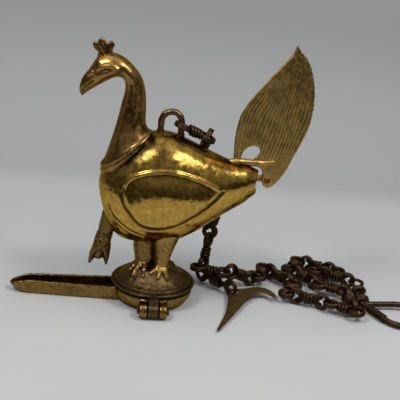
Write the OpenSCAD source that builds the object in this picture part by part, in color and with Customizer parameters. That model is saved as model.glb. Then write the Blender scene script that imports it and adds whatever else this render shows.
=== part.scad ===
// Bird oil lamp with a hinged pan and a chain of wound wire links, standing on its pan.
// +X runs to the tail, the bird faces -X, the lid hinge is on -Y and +Z is up.
// The origin is the centre of the pan's flat bottom. Lengths are in millimetres.

/* [Pan] */
// Outside radius of the pan rim
pan_r = 34.5; // [33:0.5:38]
// Height of the pan rim above the table
pan_h = 14.5; // [13.5:0.5:18]
// Radius of the flat bottom that the lamp stands on
pan_foot_r = 24; // [18:0.5:28]
// Wall of the pan and of the trough
pan_wall = 2.4; // [1.6:0.1:3]

/* [Trough] */
// Distance from the pan's centre to the tip of the trough
trough_reach = 121; // [95:1:150]
// Outside width of the trough where it leaves the pan
trough_w = 26; // [20:1:32]
// Outside width of the trough where its rounded tip begins
trough_tip_w = 16; // [10:1:20]
// Length of the rounded tip
trough_tip_l = 14; // [8:1:20]
// Height of the trough rim
trough_h = 12; // [9:0.5:13]
// Rise of the bottom towards the end of the tip
trough_rise = 6; // [3:0.5:6]
// Fall of the rim towards the end of the tip
trough_fall = 4; // [0:0.5:4]

/* [Lid] */
// Radius of the lid flange
lid_r = 36; // [35:0.5:40]
// Thickness of the lid flange
lid_t = 3; // [2:0.5:4]
// Gap between the pan rim and the flange
lid_gap = 0.3; // [0.2:0.1:0.6]
// Height of the mound above the flange
mound_h = 13.2; // [10:0.2:16]
// Radius of the flat top of the mound, under the feet
mound_top_r = 18; // [17:0.5:21]
// Radius of the foot of the mound
mound_foot_r = 30; // [29:0.5:30.5]
// Wall of the lid
lid_wall = 2.6; // [2:0.2:3.4]
// Radius of the spigot ring that sits inside the pan
spigot_r = 28; // [26:0.5:28.5]
// Depth of the spigot ring below the flange
spigot_h = 2.4; // [1.5:0.1:3]

/* [Hinge] */
// Diameter of the hinge pin
pin_d = 4; // [3:0.5:5]
// Radius of the hinge knuckles
knuckle_r = 6; // [5:0.25:6.5]
// Width of the lid's middle knuckle
tongue_w = 9; // [7:0.5:11]
// Width of each pan knuckle
knuckle_w = 6.6; // [5:0.2:8]
// Side gap between knuckles
knuckle_gap = 0.3; // [0.2:0.1:0.5]
// Radial running clearance of pin and bore
pin_fit = 0.05; // [0.02:0.01:0.1]
// Distance from the pan's centre to the hinge axis
hinge_reach = 41; // [40:0.5:44]
// Height of the hinge axis above the table
hinge_z = 6.8; // [6.6:0.1:7.4]

/* [Bird] */
// Wall of the hollow castings
cast_wall = 3; // [2.2:0.2:4]
// Height of the wing relief
wing_h = 2; // [0.5:0.25:3]
// Gap left between castings that seat on one another
seat_gap = 0.15; // [0.1:0.05:0.3]
// Thickness of the tail plate
tail_t = 2.8; // [2:0.2:4]
// Diameter of the tail rivet
rivet_d = 3.2; // [2.4:0.2:4]
// Diameter of the bail's bar
bail_d = 4.6; // [4:0.2:4.8]
// Radius of the bail's arch, to the middle of the bar
bail_r = 8.3; // [7.5:0.1:9.5]
// Diameter of the drip hole through chest and spout
drip_d = 3.4; // [2:0.2:4]

/* [Chain] */
// Diameter of the link wire at the eyes
wire_d = 3; // [2.6:0.1:3.2]
// Radius of an eye, to the middle of the wire
eye_r = 6; // [5.8:0.1:6.4]
// Distance between the two eyes of a link
eye_pitch = 23; // [22:0.5:28]
// Diameter of the winding's wire
wind_d = 2.3; // [1.8:0.1:2.4]
// Distance from one turn of the winding to the next
wind_pitch = 2.8; // [2.75:0.05:3.2]
// Turns in each winding
wind_turns = 2; // [1:1:2]
// Gap left between two hooked eyes
hook_gap = 0.25; // [0.2:0.05:0.4]
// Diameter of the end loop's bar
loop_d = 4.4; // [3.6:0.2:4.8]
// Length of the shank between the end loop's small eye and its fork
shank_l = 40; // [36:1:44]
// Distance from the fork to the middle of the end loop's bend
loop_l = 34; // [30:1:40]
// Radius of the end loop's bend
loop_r = 19; // [16:0.5:22]
// Distance between the two eyes of the wick pick's link
pick_pitch = 36; // [33:0.5:38]
// Thickness of the wick pick's plate
pick_t = 2; // [1.4:0.2:2.4]
// Radius of the hole in the wick pick
pick_hole_r = 2.8; // [2.4:0.1:3]

/* [Hidden] */
$fn = 64;
// a little extra so that cuts pass right through
cut = 1;
brass = "#b58a3c";
bronze = "#7d5c2c";
dark_bronze = "#5f4a33";
wire_brown = "#6b5236";

link_count = 20;
// links that hang from the bail, before the chain lies on the table
hanging_links = 6;
link_names = [for (i = [1:link_count]) str("link_", i < 10 ? "0" : "", i)];

flange_z = pan_h + lid_gap;
flange_top = flange_z + lid_t;
lid_top = flange_top + mound_h;
// height of the lid's top in the sizes that the bird's stations are given in
bird_base = 31;
bird_lift = lid_top - bird_base;
hinge_y = -hinge_reach;

// Curves and lofts

function unit(v) = v / norm(v);
function knot(p, i) = p[max(0, min(len(p) - 1, i))];
function spline_at(p, i, t) = let (a = knot(p, i - 1), b = knot(p, i), c = knot(p, i + 1), d = knot(p, i + 2))
    (2 * b + (c - a) * t + (2 * a - 5 * b + 4 * c - d) * t * t + (3 * b - a - 3 * c + d) * t * t * t) / 2;
function spline(p, steps) = concat(
    [for (i = [0:len(p) - 2]) for (k = [0:steps - 1]) spline_at(p, i, k / steps)],
    [p[len(p) - 1]]);
function mean(points) = [for (k = [0:2]) sum([for (p = points) p[k]]) / len(points)];
function sum(v, i = 0) = i == len(v) ? 0 : v[i] + sum(v, i + 1);
function smooth_step(t) = let (s = max(0, min(1, t))) s * s * (3 - 2 * s);

// One closed skin over a row of rings with equal counts of points
module skin(rings) {
    n = len(rings[0]);
    m = len(rings);
    points = concat([for (ring = rings) each ring], [mean(rings[0]), mean(rings[m - 1])]);
    sides = [for (i = [0:m - 2]) for (j = [0:n - 1]) let (a = i * n + j, b = i * n + (j + 1) % n)
        each [[a, b, b + n], [a, b + n, a + n]]];
    first = [for (j = [0:n - 1]) [m * n, (j + 1) % n, j]];
    last = [for (j = [0:n - 1]) [m * n + 1, (m - 1) * n + j, (m - 1) * n + (j + 1) % n]];
    polyhedron(points, concat(sides, first, last));
}

module ball(p, r) translate(p) sphere(r = r, $fn = 18);

// A limb that tapers between two balls
module limb(p, pr, q, qr) hull() {
    ball(p, pr);
    ball(q, qr);
}

// Pan, trough and hinge

function pan_outline(inset) = let (bend = pan_r - pan_foot_r)
    concat([[0, inset], [pan_foot_r, inset]],
        [for (k = [1:8]) let (a = 90 * k / 8)
            [pan_foot_r + (bend - inset) * sin(a), inset + (pan_h - 2 - inset) * (1 - cos(a))]],
        [[pan_r - inset, pan_h + (inset > 0 ? cut : 0)], [0, pan_h + (inset > 0 ? cut : 0)]]);

module trough_outline(inset) {
    side = trough_w / 2 - inset;
    tip_side = trough_tip_w / 2 - inset;
    shoulder = -(trough_reach - trough_tip_l);
    tip = [for (k = [0:16]) let (a = 90 - 180 * k / 16)
        [shoulder - (trough_tip_l - inset) * cos(a), tip_side * sin(a)]];
    polygon(concat([[-pan_foot_r, side]], tip, [[-pan_foot_r, -side]]));
}

// Half spaces under the rising bottom of the tip and over its falling rim
module tip_half_space(z, slope, side) translate([trough_tip_l - trough_reach, 0, z]) rotate([0, slope, 0])
    translate([-2 * trough_tip_l, -trough_w, (side - 1) * trough_h / 2])
        cube([2 * trough_tip_l, 2 * trough_w, trough_h]);

tip_rise_angle = atan(trough_rise / trough_tip_l);
tip_fall_angle = atan(trough_fall / trough_tip_l);

// A bar along X with its section given in Y and Z
module bar_along_x(section, width, x = 0) translate([x - width / 2, 0, 0])
    rotate([90, 0, 90]) linear_extrude(width) polygon(section);

module cylinder_along_x(r, width, x = 0) translate([x - width / 2, hinge_y, hinge_z])
    rotate([0, 90, 0]) cylinder(r = r, h = width);

knuckle_x = tongue_w / 2 + knuckle_gap + knuckle_w / 2;
knuckle_stub = [[hinge_y, hinge_z - knuckle_r * 0.7], [hinge_y, hinge_z + knuckle_r * 0.6],
    [-pan_r + pan_wall / 2, pan_h - 2.5], [-pan_foot_r - 4, pan_wall * 0.6]];

module oil_pan() color(bronze) difference() {
    union() {
        rotate_extrude() polygon(pan_outline(0));
        difference() {
            linear_extrude(trough_h) trough_outline(0);
            tip_half_space(0, tip_rise_angle, -1);
            tip_half_space(trough_h, -tip_fall_angle, 1);
        }
        for (side = [-1, 1]) {
            bar_along_x(knuckle_stub, knuckle_w, side * knuckle_x);
            cylinder_along_x(knuckle_r, knuckle_w, side * knuckle_x);
        }
    }
    rotate_extrude() polygon(pan_outline(pan_wall));
    difference() {
        translate([0, 0, pan_wall]) linear_extrude(pan_h) trough_outline(pan_wall);
        tip_half_space(pan_wall, tip_rise_angle, -1);
    }
    cylinder_along_x(pin_d / 2 + pin_fit, 2 * (knuckle_x + knuckle_w));
}

pin_head = 1.4;
pin_span = 2 * knuckle_x + knuckle_w + 2 * knuckle_gap;

module hinge_pin() color(dark_bronze) union() {
    cylinder_along_x(pin_d / 2, pin_span);
    for (side = [-1, 1]) cylinder_along_x(pin_d / 2 + 1.1, pin_head, side * (pin_span + pin_head) / 2);
}

// Lid: flange with a rolled edge, a raised ring, and a mound that sweeps up to the feet

ring_h = 2.2;
sweep_steps = 10;
// height of the mound's slope, from 0 at its foot to 1 at its top
function mound_rise(t) = t * (0.6 + 0.4 * t);

module lid_section() {
    ring_top = flange_top + ring_h;
    sweep = [for (k = [0:sweep_steps]) let (t = k / sweep_steps)
        [mound_foot_r + (mound_top_r - mound_foot_r) * t, ring_top + (lid_top - ring_top) * mound_rise(t)]];
    under = [for (k = [sweep_steps:-1:0]) let (t = k / sweep_steps)
        [spigot_r - lid_wall + (mound_top_r - spigot_r) * t,
            flange_z + (lid_top - lid_wall - flange_z) * mound_rise(t)]];
    flange = [[spigot_r - lid_wall, flange_z - spigot_h], [spigot_r, flange_z - spigot_h],
        [spigot_r, flange_z], [lid_r - 0.8, flange_z], [lid_r, flange_z + lid_t * 0.35],
        [lid_r, flange_z + lid_t * 0.7],
        [lid_r - 0.8, flange_top], [mound_foot_r + 3.6, flange_top - 0.5],
        [mound_foot_r + 2.9, flange_top + 0.6], [mound_foot_r + 2.3, ring_top - 0.4],
        [mound_foot_r + 1.6, ring_top], [mound_foot_r + 0.6, ring_top - 0.2]];
    polygon(concat(flange, sweep, [[0, lid_top], [0, lid_top - lid_wall]], under));
}

tongue_section = [[hinge_y, hinge_z - knuckle_r * 0.6],
    [hinge_y - knuckle_r * 0.6, hinge_z + knuckle_r * 0.5], [hinge_y - 1, flange_z + lid_t * 0.6],
    [-lid_r + 1.6, flange_top - 0.3], [-lid_r + 1.6, flange_z + 0.2],
    [hinge_y + knuckle_r * 0.6, hinge_z + knuckle_r * 0.4]];

module lid() color(bronze) difference() {
    union() {
        rotate_extrude() lid_section();
        bar_along_x(tongue_section, tongue_w);
        cylinder_along_x(knuckle_r, tongue_w);
    }
    cylinder_along_x(pin_d / 2 + pin_fit, tongue_w + 2 * cut);
}

// Bird body: upright oval rings along X, each as [x, lowest z, highest z, half width]

body_stations = [[-50.6, 97, 107, 5], [-49, 89, 113, 12.5], [-46, 79, 119.5, 18.5], [-41, 67, 126, 23.5],
    [-34, 58.2, 133, 28], [-26, 54.4, 139.5, 31], [-16, 52.9, 145.6, 33], [-4, 52.8, 148.9, 34],
    [9, 54, 147.3, 33.6], [21, 58.8, 142.6, 31.6], [33, 66, 137.4, 28.5], [45, 75.2, 132, 24.4],
    [57, 84, 128, 19.6], [69, 92, 125.6, 14.6], [80, 101.4, 121.4, 10]];
body_sides = 40;
body_line = spline(body_stations, 2);
// wing outline on the flank, as [x, middle z, half height]
wing_stations = [[-34, 104.5, 0.8], [-30, 102, 11], [-18, 97.5, 20.5], [-3, 97.6, 24.8], [12, 97.8, 23],
    [24, 100, 18], [36, 104.2, 11], [49, 109, 0.8]];

function column(stations, k) = [for (s = stations) [s[0], s[k]]];
body_low = column(body_line, 1);
body_high = column(body_line, 2);
body_half = column(body_line, 3);
function body_top(x, y) = let (lo = lookup(x, body_low), hi = lookup(x, body_high), w = lookup(x, body_half))
    (lo + hi) / 2 + (hi - lo) / 2 * sqrt(max(0, 1 - pow(y / w, 2)));
function wing_relief(x, z) = let (mid = lookup(x, column(wing_stations, 1)),
    h = lookup(x, column(wing_stations, 2)), inside = 1 - pow((z - mid) / h, 2),
    in_span = x > wing_stations[0][0] && x < wing_stations[7][0])
    in_span ? wing_h * smooth_step(inside / 0.35) : 0;

function body_ring(s, grow, relief) = [for (k = [0:body_sides - 1])
    let (a = 360 * k / body_sides, z = (s[1] + s[2]) / 2 + ((s[2] - s[1]) / 2 + grow) * cos(a),
        raised = relief ? wing_relief(s[0], z) * abs(sin(a)) : 0)
    [s[0], (s[3] + grow + raised) * sin(a), z]];

// The body's outside, grown a little, as the shape that other castings are seated on
module body_envelope(grow) skin([for (s = body_line) body_ring(s, grow, false)]);

// inside rings start where the wall leaves room for them
body_inside = [for (s = body_line) if (s[0] > -47) s];
bail_mid_x = 4.1;
bail_x = [bail_mid_x - bail_r, bail_mid_x + bail_r];
bail_arch_z = 157;
bail_sink = 2;
// straight bars run this far into the bends that they meet, and differ from them this much in diameter
bend_lap = 0.6;
bend_step = 0.2;
bail_leg_d = bail_d + bend_step;
drip_top = [-40.5, 0, 72];
drip_mouth = [-47.4, 0, 33];
vent_d = 2.4;
vent_at = [-2, -15];

module along(p, q, r, past = 0) let (v = q - p, l = norm(v))
    translate(p) rotate([0, acos(v[2] / l), atan2(v[1], v[0])]) translate([0, 0, -past])
        cylinder(r = r, h = l + 2 * past);

module bird_body() color(brass) translate([0, 0, bird_lift]) difference() {
    skin(concat([for (s = body_line) body_ring(s, 0, true)],
        [for (k = [len(body_inside) - 1:-1:0]) body_ring(body_inside[k], -cast_wall, false)]));
    for (x = bail_x) translate([x, 0, body_top(x, 0) - bail_sink])
        cylinder(d = bail_leg_d + 2 * pin_fit, h = 3 * bail_sink);
    along(drip_top, drip_mouth, drip_d / 2);
    translate([vent_at[0], vent_at[1], body_top(vent_at[0], vent_at[1])]) rotate([25, 0, 0])
        cylinder(d = vent_d, h = 4 * cast_wall, center = true);
}

// Neck and head: rings given as [front x, front z, back x, back z, half width], from the base to the beak

neck_stations = [[-47, 104, -13, 138, 18], [-50.6, 114.5, -13.2, 149, 21.5],
    [-47.4, 123.5, -15.2, 151.6, 18.2], [-43.4, 138.8, -16.8, 154.6, 14.6],
    [-39.8, 154.9, -17.3, 159, 11.8], [-37.3, 168.3, -17.6, 169, 10.4], [-35.2, 179, -19.2, 180.5, 10],
    [-35.4, 186.4, -22.6, 191, 10], [-38.5, 189.8, -29, 199.4, 10.4], [-43.4, 189.8, -38, 206.2, 11],
    [-49.4, 186.6, -48, 208.6, 10.8], [-55.5, 182.8, -57.3, 205.4, 9], [-60.4, 179.4, -63.2, 196, 6.2],
    [-65, 175.8, -69.4, 186.6, 4], [-67.8, 173.4, -71, 179, 2.4]];
neck_sides = 28;
neck_line = spline(neck_stations, 2);
neck_hollow = [for (k = [0:10]) neck_line[k]];

function neck_ring(s, grow) = let (f = [s[0], 0, s[1]], b = [s[2], 0, s[3]], mid = (f + b) / 2,
    half = (b - f) / 2, reach = half * (1 + grow / norm(half)))
    [for (k = [0:neck_sides - 1]) let (a = 360 * k / neck_sides)
        mid + reach * cos(a) + [0, (s[4] + grow) * sin(a), 0]];

module neck_outside(grow) skin([for (k = [len(neck_line) - 1:-1:0]) neck_ring(neck_line[k], grow)]);

eye_at = [-51.9, 10.2, 196.4];
nostril_at = [-62.6, 5.6, 191.6];

module neck_head() color(bronze) translate([0, 0, bird_lift]) difference() {
    union() {
        difference() {
            neck_outside(0);
            skin([for (k = [len(neck_hollow) - 1:-1:0]) neck_ring(neck_hollow[k], -cast_wall)]);
        }
        for (side = [-1, 1]) scale([1, side, 1]) {
            limb(eye_at - [2.2, 0.3, 0.6], 1.7, eye_at + [2, 0, 0.4], 1.7);
            limb(eye_at + [-4.5, -0.8, 3], 1, eye_at + [1, -0.4, 3.9], 1.2);
            limb(eye_at + [1, -0.4, 3.9], 1.2, eye_at + [6, -0.4, 1.6], 0.9);
            limb(nostril_at, 1, nostril_at + [3.4, 1.2, 0.6], 1.2);
        }
    }
    body_envelope(seat_gap);
}

// Crest: one plate with three lobes on a short stem, as an outline in the plane of the head

crest_t = 3.2;
crest_points = [[-57.2, 203], [-57.8, 208], [-60.6, 209.6], [-62.2, 212.4], [-60.2, 214.8], [-58.8, 214.6],
    [-58.6, 217.6], [-56, 219.8], [-53.4, 218.6], [-52.2, 215.8], [-50.8, 215.6], [-49.2, 217.6],
    [-46.6, 217.2], [-45.4, 214.4], [-47, 211], [-46.2, 207], [-44.6, 203], [-50.8, 202]];

module crest() color(bronze) translate([0, 0, bird_lift]) difference() {
    translate([0, crest_t / 2, 0]) rotate([90, 0, 0]) linear_extrude(crest_t)
        polygon(spline(concat(crest_points, [crest_points[0]]), 3));
    neck_outside(seat_gap);
}

// Legs: thigh, shank and a spread foot that stands on the lid

// each leg as [top of the thigh, knee, ankle, radii of these three, heading of the foot]
near_leg_line = [[8, -10, 62], [7.2, -10.4, 47], [6.6, -10.8, 35.8], [9.4, 6.6, 4.6], 208];
far_leg_line = [[-11, 4, 60], [-11, 2.4, 46], [-10.6, 1, 36.4], [9.6, 7.6, 6.4], 222];
toe_spread = [-38, 0, 38];
toe_l = 10;
// depth of the block under the feet that cuts them off level
leg_floor = 40;

module leg(line) color(brass) translate([0, 0, bird_lift]) difference() {
    ankle = line[2];
    r = line[3];
    ahead = heading([line[4], 0]);
    union() {
        limb(line[0], r[0], line[1], r[1]);
        limb(line[1], r[1], ankle, r[2]);
        for (spread = toe_spread) {
            toe = ankle + toe_l * (heading([line[4] + spread, 0]) - 0.36 * up);
            limb(ankle - 1.6 * up, 3.4, toe, 1.9);
            limb(toe, 1.9, toe + 1.2 * ahead - 0.6 * up, 1.2);
        }
        limb(ankle - 2 * up, 3.2, ankle - 5.5 * ahead - 2.8 * up, 1.8);
    }
    body_envelope(seat_gap);
    translate([0, 0, bird_base - leg_floor / 2 + seat_gap])
        cube([3 * leg_floor, 3 * leg_floor, leg_floor], center = true);
}

module near_leg() leg(near_leg_line);
module far_leg() leg(far_leg_line);

// Drip spout: a small beaked head under the chest, its bore in line with the hole in the body

module drip_spout() color(bronze) translate([0, 0, bird_lift]) difference() {
    union() {
        limb([-40, 0, 70], 8, [-43.2, 0, 58], 6.2);
        limb([-43.2, 0, 58], 6.2, [-45.4, 0, 49.5], 7.4);
        limb([-47, 0, 46.5], 5.8, [-52.6, 0, 37], 3.2);
        limb([-52.6, 0, 37], 3.2, [-55.2, 0, 29.4], 1.1);
        limb([-43.4, 0, 46], 5.6, [-41.4, 0, 36], 3.1);
        limb([-41.4, 0, 36], 3.1, [-41, 0, 28.6], 1.1);
        for (side = [-1, 1]) limb([-48.6, side * 5.6, 50], 1.9, [-50.6, side * 4.8, 48.4], 1.7);
    }
    body_envelope(seat_gap);
    along(drip_top, drip_mouth, drip_d / 2, cut);
}

// Tail: a plug in the rear mouth of the body, a leaf-shaped plate and a rivet

tail_face_x = 80;
tail_axis_z = 111.4;
mouth_r = 10;
plug_r = mouth_r - cast_wall - seat_gap;
plug_l = 9;
plug_flange_r = 9.7;
plug_flange_t = 2.4;
lug_at = [88, 113.6];
lug_r = 5;
lug_t = 4;
lug_y = tail_t / 2 + 0.1;
tail_foot_x = 59;
// height of the tail's foot over the line of the back
tail_rest = 0.6;
tail_hole = rivet_d + 2 * pin_fit;

module tail_hole_cut() translate([lug_at[0], 0, lug_at[1]]) rotate([90, 0, 0])
    cylinder(d = tail_hole, h = 40, center = true);

module tail_socket() color(brass) translate([0, 0, bird_lift]) difference() {
    union() {
        translate([tail_face_x - plug_l, 0, tail_axis_z]) rotate([0, 90, 0])
            cylinder(r = plug_r, h = plug_l + 1);
        translate([tail_face_x + 0.1, 0, tail_axis_z]) rotate([0, 90, 0])
            cylinder(r = plug_flange_r, h = plug_flange_t);
        translate([tail_face_x + 1, lug_y, lug_at[1] - lug_r + 0.5])
            cube([lug_at[0] - tail_face_x - 1, lug_t, 2 * lug_r - 1]);
        translate([lug_at[0], lug_y, lug_at[1]]) rotate([-90, 0, 0]) cylinder(r = lug_r, h = lug_t);
    }
    tail_hole_cut();
}

// outline of the tail plate from its foot on the back, round the leaf, down to the tongue and along the back
tail_points = [[tail_foot_x - 1, body_top(tail_foot_x, 0) + tail_rest], [57.2, 140], [57.3, 152],
    [59.5, 166], [65.5, 178.5], [75, 192], [86, 206.5], [95, 218.5], [98.6, 227.6], [102.4, 222.6],
    [109, 216], [114.6, 204.5], [118.4, 188.4], [118.8, 171.7], [116.4, 157], [110.8, 141.5],
    [103, 122.5], [96.5, 112], [90, 106.6], [85.2, 108.4], [83.6, 114], [83.2, 120], [80.4, 123.6]];
tail_seat = [for (x = [76:-4:60]) [x, body_top(x, 0) + tail_rest]];
// oval gap between the foot and the tongue
tail_gap = [[64.4, 130.6], [66, 137], [71, 141.4], [77, 141.2], [79.2, 137], [75.8, 132.4], [70, 129.8]];

module tail_fan() color(bronze) translate([0, 0, bird_lift]) difference() {
    translate([0, tail_t / 2, 0]) rotate([90, 0, 0]) linear_extrude(tail_t) difference() {
        polygon(concat(spline(tail_points, 4), tail_seat));
        polygon(spline(concat(tail_gap, [tail_gap[0]]), 4));
    }
    tail_hole_cut();
}

rivet_head_r = rivet_d / 2 + 1.1;
rivet_head_h = 1.2;
rivet_seat = 0.1;

module tail_rivet() color(brass) translate([lug_at[0], -tail_t / 2 - rivet_seat, lug_at[1] + bird_lift])
    rotate([-90, 0, 0]) rotate_extrude()
        let (l = tail_t / 2 + rivet_seat + lug_y + lug_t + rivet_seat, r = rivet_d / 2)
        polygon([[0, -rivet_head_h], [rivet_head_r * 0.6, -rivet_head_h], [rivet_head_r, -rivet_head_h * 0.4],
            [rivet_head_r, 0], [r, 0], [r, l], [rivet_head_r, l], [rivet_head_r, l + rivet_head_h * 0.4],
            [rivet_head_r * 0.6, l + rivet_head_h], [0, l + rivet_head_h]]);

module bail() color(dark_bronze) translate([0, 0, bird_lift]) union() {
    translate([bail_mid_x, 0, bail_arch_z]) rotate([90, 0, 0])
        rotate_extrude(angle = 180) translate([bail_r, 0]) circle(d = bail_d);
    for (x = bail_x) let (foot = body_top(x, 0) - bail_sink + pin_fit)
        translate([x, 0, foot]) cylinder(d = bail_leg_d, h = bail_arch_z + bend_lap - foot);
}

// Chain: each link is given by its heading, as [azimuth, rise], and hooks into the one before it

lay = [[10, -23], [92.2, -38.5], [13.1, -41], [46.2, -87.5], [-168.4, -78], [-120, -73.5],
    [-21.5, 0], [22.5, -22.5], [69.1, 0], [-54.5, 0], [-118.3, 0], [-23.7, 0], [-32.9, 0],
    [91.7, 0], [156.1, 0], [123.1, 0], [57.4, 0], [-29.4, 0], [-174, 0], [-29.9, 0]];
up = [0, 0, 1];
hook = 2 * eye_r - wire_d - hook_gap;
chain_start = [bail_x[1] + 1.4, 0.2, 153.75 + bird_lift];

function heading(a) = [cos(a[1]) * cos(a[0]), cos(a[1]) * sin(a[0]), sin(a[1])];
function flat_normal(d) = unit(cross(cross(d, up), d));
function link_normal(i, d, previous) = i < hanging_links ? unit(cross(d, previous))
    : i % 2 == 0 ? up : unit(cross(d, up));
function hook_way(from, d, n) = let (u = unit(cross(from[2], n))) u * (d + from[1]) < 0 ? -u : u;
// a link's frame is [middle of its near eye, heading, normal of its plane]
function link_after(from, i) = let (d = heading(lay[i]), n = link_normal(i, d, from[2]))
    [from[0] + eye_pitch * from[1] + hook * hook_way(from, d, n), d, n];
function chain_frames(i) = i == 0 ? [[chain_start, heading(lay[0]), flat_normal(heading(lay[0]))]]
    : let (before = chain_frames(i - 1)) concat(before, [link_after(before[i - 1], i)]);
links = chain_frames(link_count - 1);
function far_eye(f) = f[0] + eye_pitch * f[1];

module in_frame(f) let (y = cross(f[2], f[1]))
    multmatrix([for (k = [0:2]) [f[1][k], y[k], f[2][k], f[0][k]]]) children();

strand_d = wire_d - 0.3;
strand_y = strand_d / 2 - 0.05;
wind_gap = 0.15;
wind_sides = 6;
wind_steps = 12;

// an oval helix round two strands that lie side by side
function wind_path(d) = let (y = d + wind_d / 2 + wind_gap, z = 0.7 * d + wind_d / 2)
    [for (k = [0:wind_turns * wind_steps]) let (a = 360 * k / wind_steps)
        [wind_pitch * (k / wind_steps - wind_turns / 2), y * cos(a), z * sin(a)]];
function self_gap(path) = min([for (i = [0:len(path) - 1]) for (j = [0:len(path) - 1])
    if (j - i > wind_steps / 2) norm(path[j] - path[i])]) - wind_d;
echo(winding_least_gap = self_gap(wind_path(strand_d)));

function tube_ring(path, i, r, sides) = let (t = unit(knot(path, i + 1) - knot(path, i - 1)),
    side = unit(cross(t, [1, 0, 0])), rise = cross(t, side))
    [for (k = [0:sides - 1]) let (a = 360 * k / sides) path[i] + r * (cos(a) * side + sin(a) * rise)];

module winding(strand) let (path = wind_path(strand))
    skin([for (i = [len(path) - 1:-1:0]) tube_ring(path, i, wind_d / 2, wind_sides)]);

module eye() rotate_extrude() translate([eye_r, 0]) circle(d = wire_d);

module wire_link(pitch) {
    union() {
        eye();
        translate([pitch, 0, 0]) eye();
        for (side = [-1, 1]) translate([eye_r, side * strand_y, 0]) rotate([0, 90, 0])
            cylinder(d = strand_d, h = pitch - 2 * eye_r);
    }
    translate([pitch / 2, 0, 0]) winding(strand_d);
}

module chain_link(i) color(wire_brown) in_frame(links[i]) wire_link(eye_pitch);

// The wick pick's link stands on edge under the lower eye of the last hanging link

pick_heading = heading([-50, 0]);
pick_frame = [far_eye(links[hanging_links - 1]) - hook * up, pick_heading, unit(cross(pick_heading, up))];

module pick_link() color(wire_brown) in_frame(pick_frame) wire_link(pick_pitch);

// The wick pick lies from the link's far eye to the table, tipped a little so that its spike rests there

pick_drop = 1.9;
pick_tip = 3.4;
pick_reach = pick_pitch + sqrt(eye_r * eye_r - pick_drop * pick_drop);
pick_hole_at = pick_frame[0] + pick_reach * pick_heading - pick_drop * up;
pick_outline = [[-5.2, 1.4], [-2.6, 5.4], [3.2, 5.4], [10, 6.6], [17, 9.8], [23, 11], [30, 8.2], [35.4, 1.4],
    [37, -5.6], [34.6, -6.4], [30.6, -1.6], [25.4, 1], [20, -0.6], [14.4, -6], [8.6, -14], [2, -26],
    [-6.4, -41], [-18, -61.4], [-21.4, -66], [-20.6, -60.4], [-12.4, -38], [-8.2, -18], [-6.4, -5]];

module wick_pick() color(bronze) translate(pick_hole_at) rotate([pick_tip, 0, 0]) difference() {
    translate([0, 0, -pick_t / 2]) linear_extrude(pick_t)
        polygon(spline(concat(pick_outline, [pick_outline[0]]), 3));
    cylinder(r = pick_hole_r, h = 4 * pick_t, center = true);
}

// The end loop: a small eye in the last link, a wound shank of two strands and a wide loop turned to one side

loop_heading = heading([-94.6, -3.5]);
loop_turn = 66;
loop_strand_d = loop_d - 0.8;
loop_strand_y = loop_strand_d / 2 - 0.05;
// distance from the fork back to the middle of the shank's winding
shank_wind = 7;
last_link = links[link_count - 1];
loop_normal = flat_normal(loop_heading);
loop_eye = far_eye(last_link) + hook * hook_way(last_link, loop_heading, loop_normal);
loop_frame = [loop_eye, loop_heading, loop_normal];
// half of the angle between the loop's two straight sides
loop_open = asin(loop_r / loop_l);
loop_side = sqrt(loop_l * loop_l - loop_r * loop_r);

module hanging_loop() color(wire_brown) in_frame(loop_frame) {
    union() {
        eye();
        for (side = [-1, 1]) translate([0, side * loop_strand_y, 0]) {
            translate([eye_r, 0, 0]) rotate([0, 90, 0]) cylinder(d = loop_strand_d, h = shank_l - eye_r);
            translate([shank_l, 0, 0]) sphere(d = loop_d);
        }
        translate([shank_l, 0, 0]) rotate([0, 0, loop_turn]) {
            for (side = [-1, 1]) rotate([0, 90, side * loop_open])
                cylinder(d = loop_d - bend_step, h = loop_side + bend_lap);
            translate([loop_l, 0, 0]) rotate([0, 0, -90 - loop_open])
                rotate_extrude(angle = 180 + 2 * loop_open) translate([loop_r, 0]) circle(d = loop_d);
        }
    }
    translate([shank_l - shank_wind, 0, 0]) winding(loop_strand_d);
}

oil_pan();
hinge_pin();
lid();
near_leg();
far_leg();
bird_body();
neck_head();
crest();
drip_spout();
tail_socket();
tail_fan();
tail_rivet();
bail();
for (i = [0:link_count - 1]) chain_link(i);
pick_link();
wick_pick();
hanging_loop();
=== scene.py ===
"""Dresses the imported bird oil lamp: worn castings, wound chain, materials, camera and light.

Sizes are in millimetres and become metres when a mesh is made. The frame is the solids' own:
+X to the tail, -Y to the lid hinge, +Z up, with the origin under the middle of the pan.
"""
import math

import bmesh
import bpy
import numpy as np
from mathutils import Matrix, Vector, noise
from mathutils.geometry import delaunay_2d_cdt


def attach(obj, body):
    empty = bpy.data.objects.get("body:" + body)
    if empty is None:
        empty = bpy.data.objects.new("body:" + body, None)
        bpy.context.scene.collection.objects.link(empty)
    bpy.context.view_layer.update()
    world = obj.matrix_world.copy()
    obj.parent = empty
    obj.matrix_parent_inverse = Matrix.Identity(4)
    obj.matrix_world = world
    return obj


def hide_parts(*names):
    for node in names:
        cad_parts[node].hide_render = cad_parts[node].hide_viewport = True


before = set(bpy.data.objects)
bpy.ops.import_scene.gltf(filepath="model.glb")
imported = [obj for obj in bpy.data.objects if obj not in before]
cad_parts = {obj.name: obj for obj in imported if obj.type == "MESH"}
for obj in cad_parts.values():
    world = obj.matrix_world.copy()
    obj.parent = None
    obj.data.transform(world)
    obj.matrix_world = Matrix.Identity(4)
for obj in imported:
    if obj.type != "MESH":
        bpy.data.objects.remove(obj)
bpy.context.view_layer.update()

MM = 0.001
UP = np.array([0.0, 0.0, 1.0])

# Camera and light

CAMERA_AT = np.array([-40.3, -649.6, 320.0])
CAMERA_TARGET = np.array([33.3, -3.8, 93.0])
CAMERA_ROLL = math.radians(6)
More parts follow.
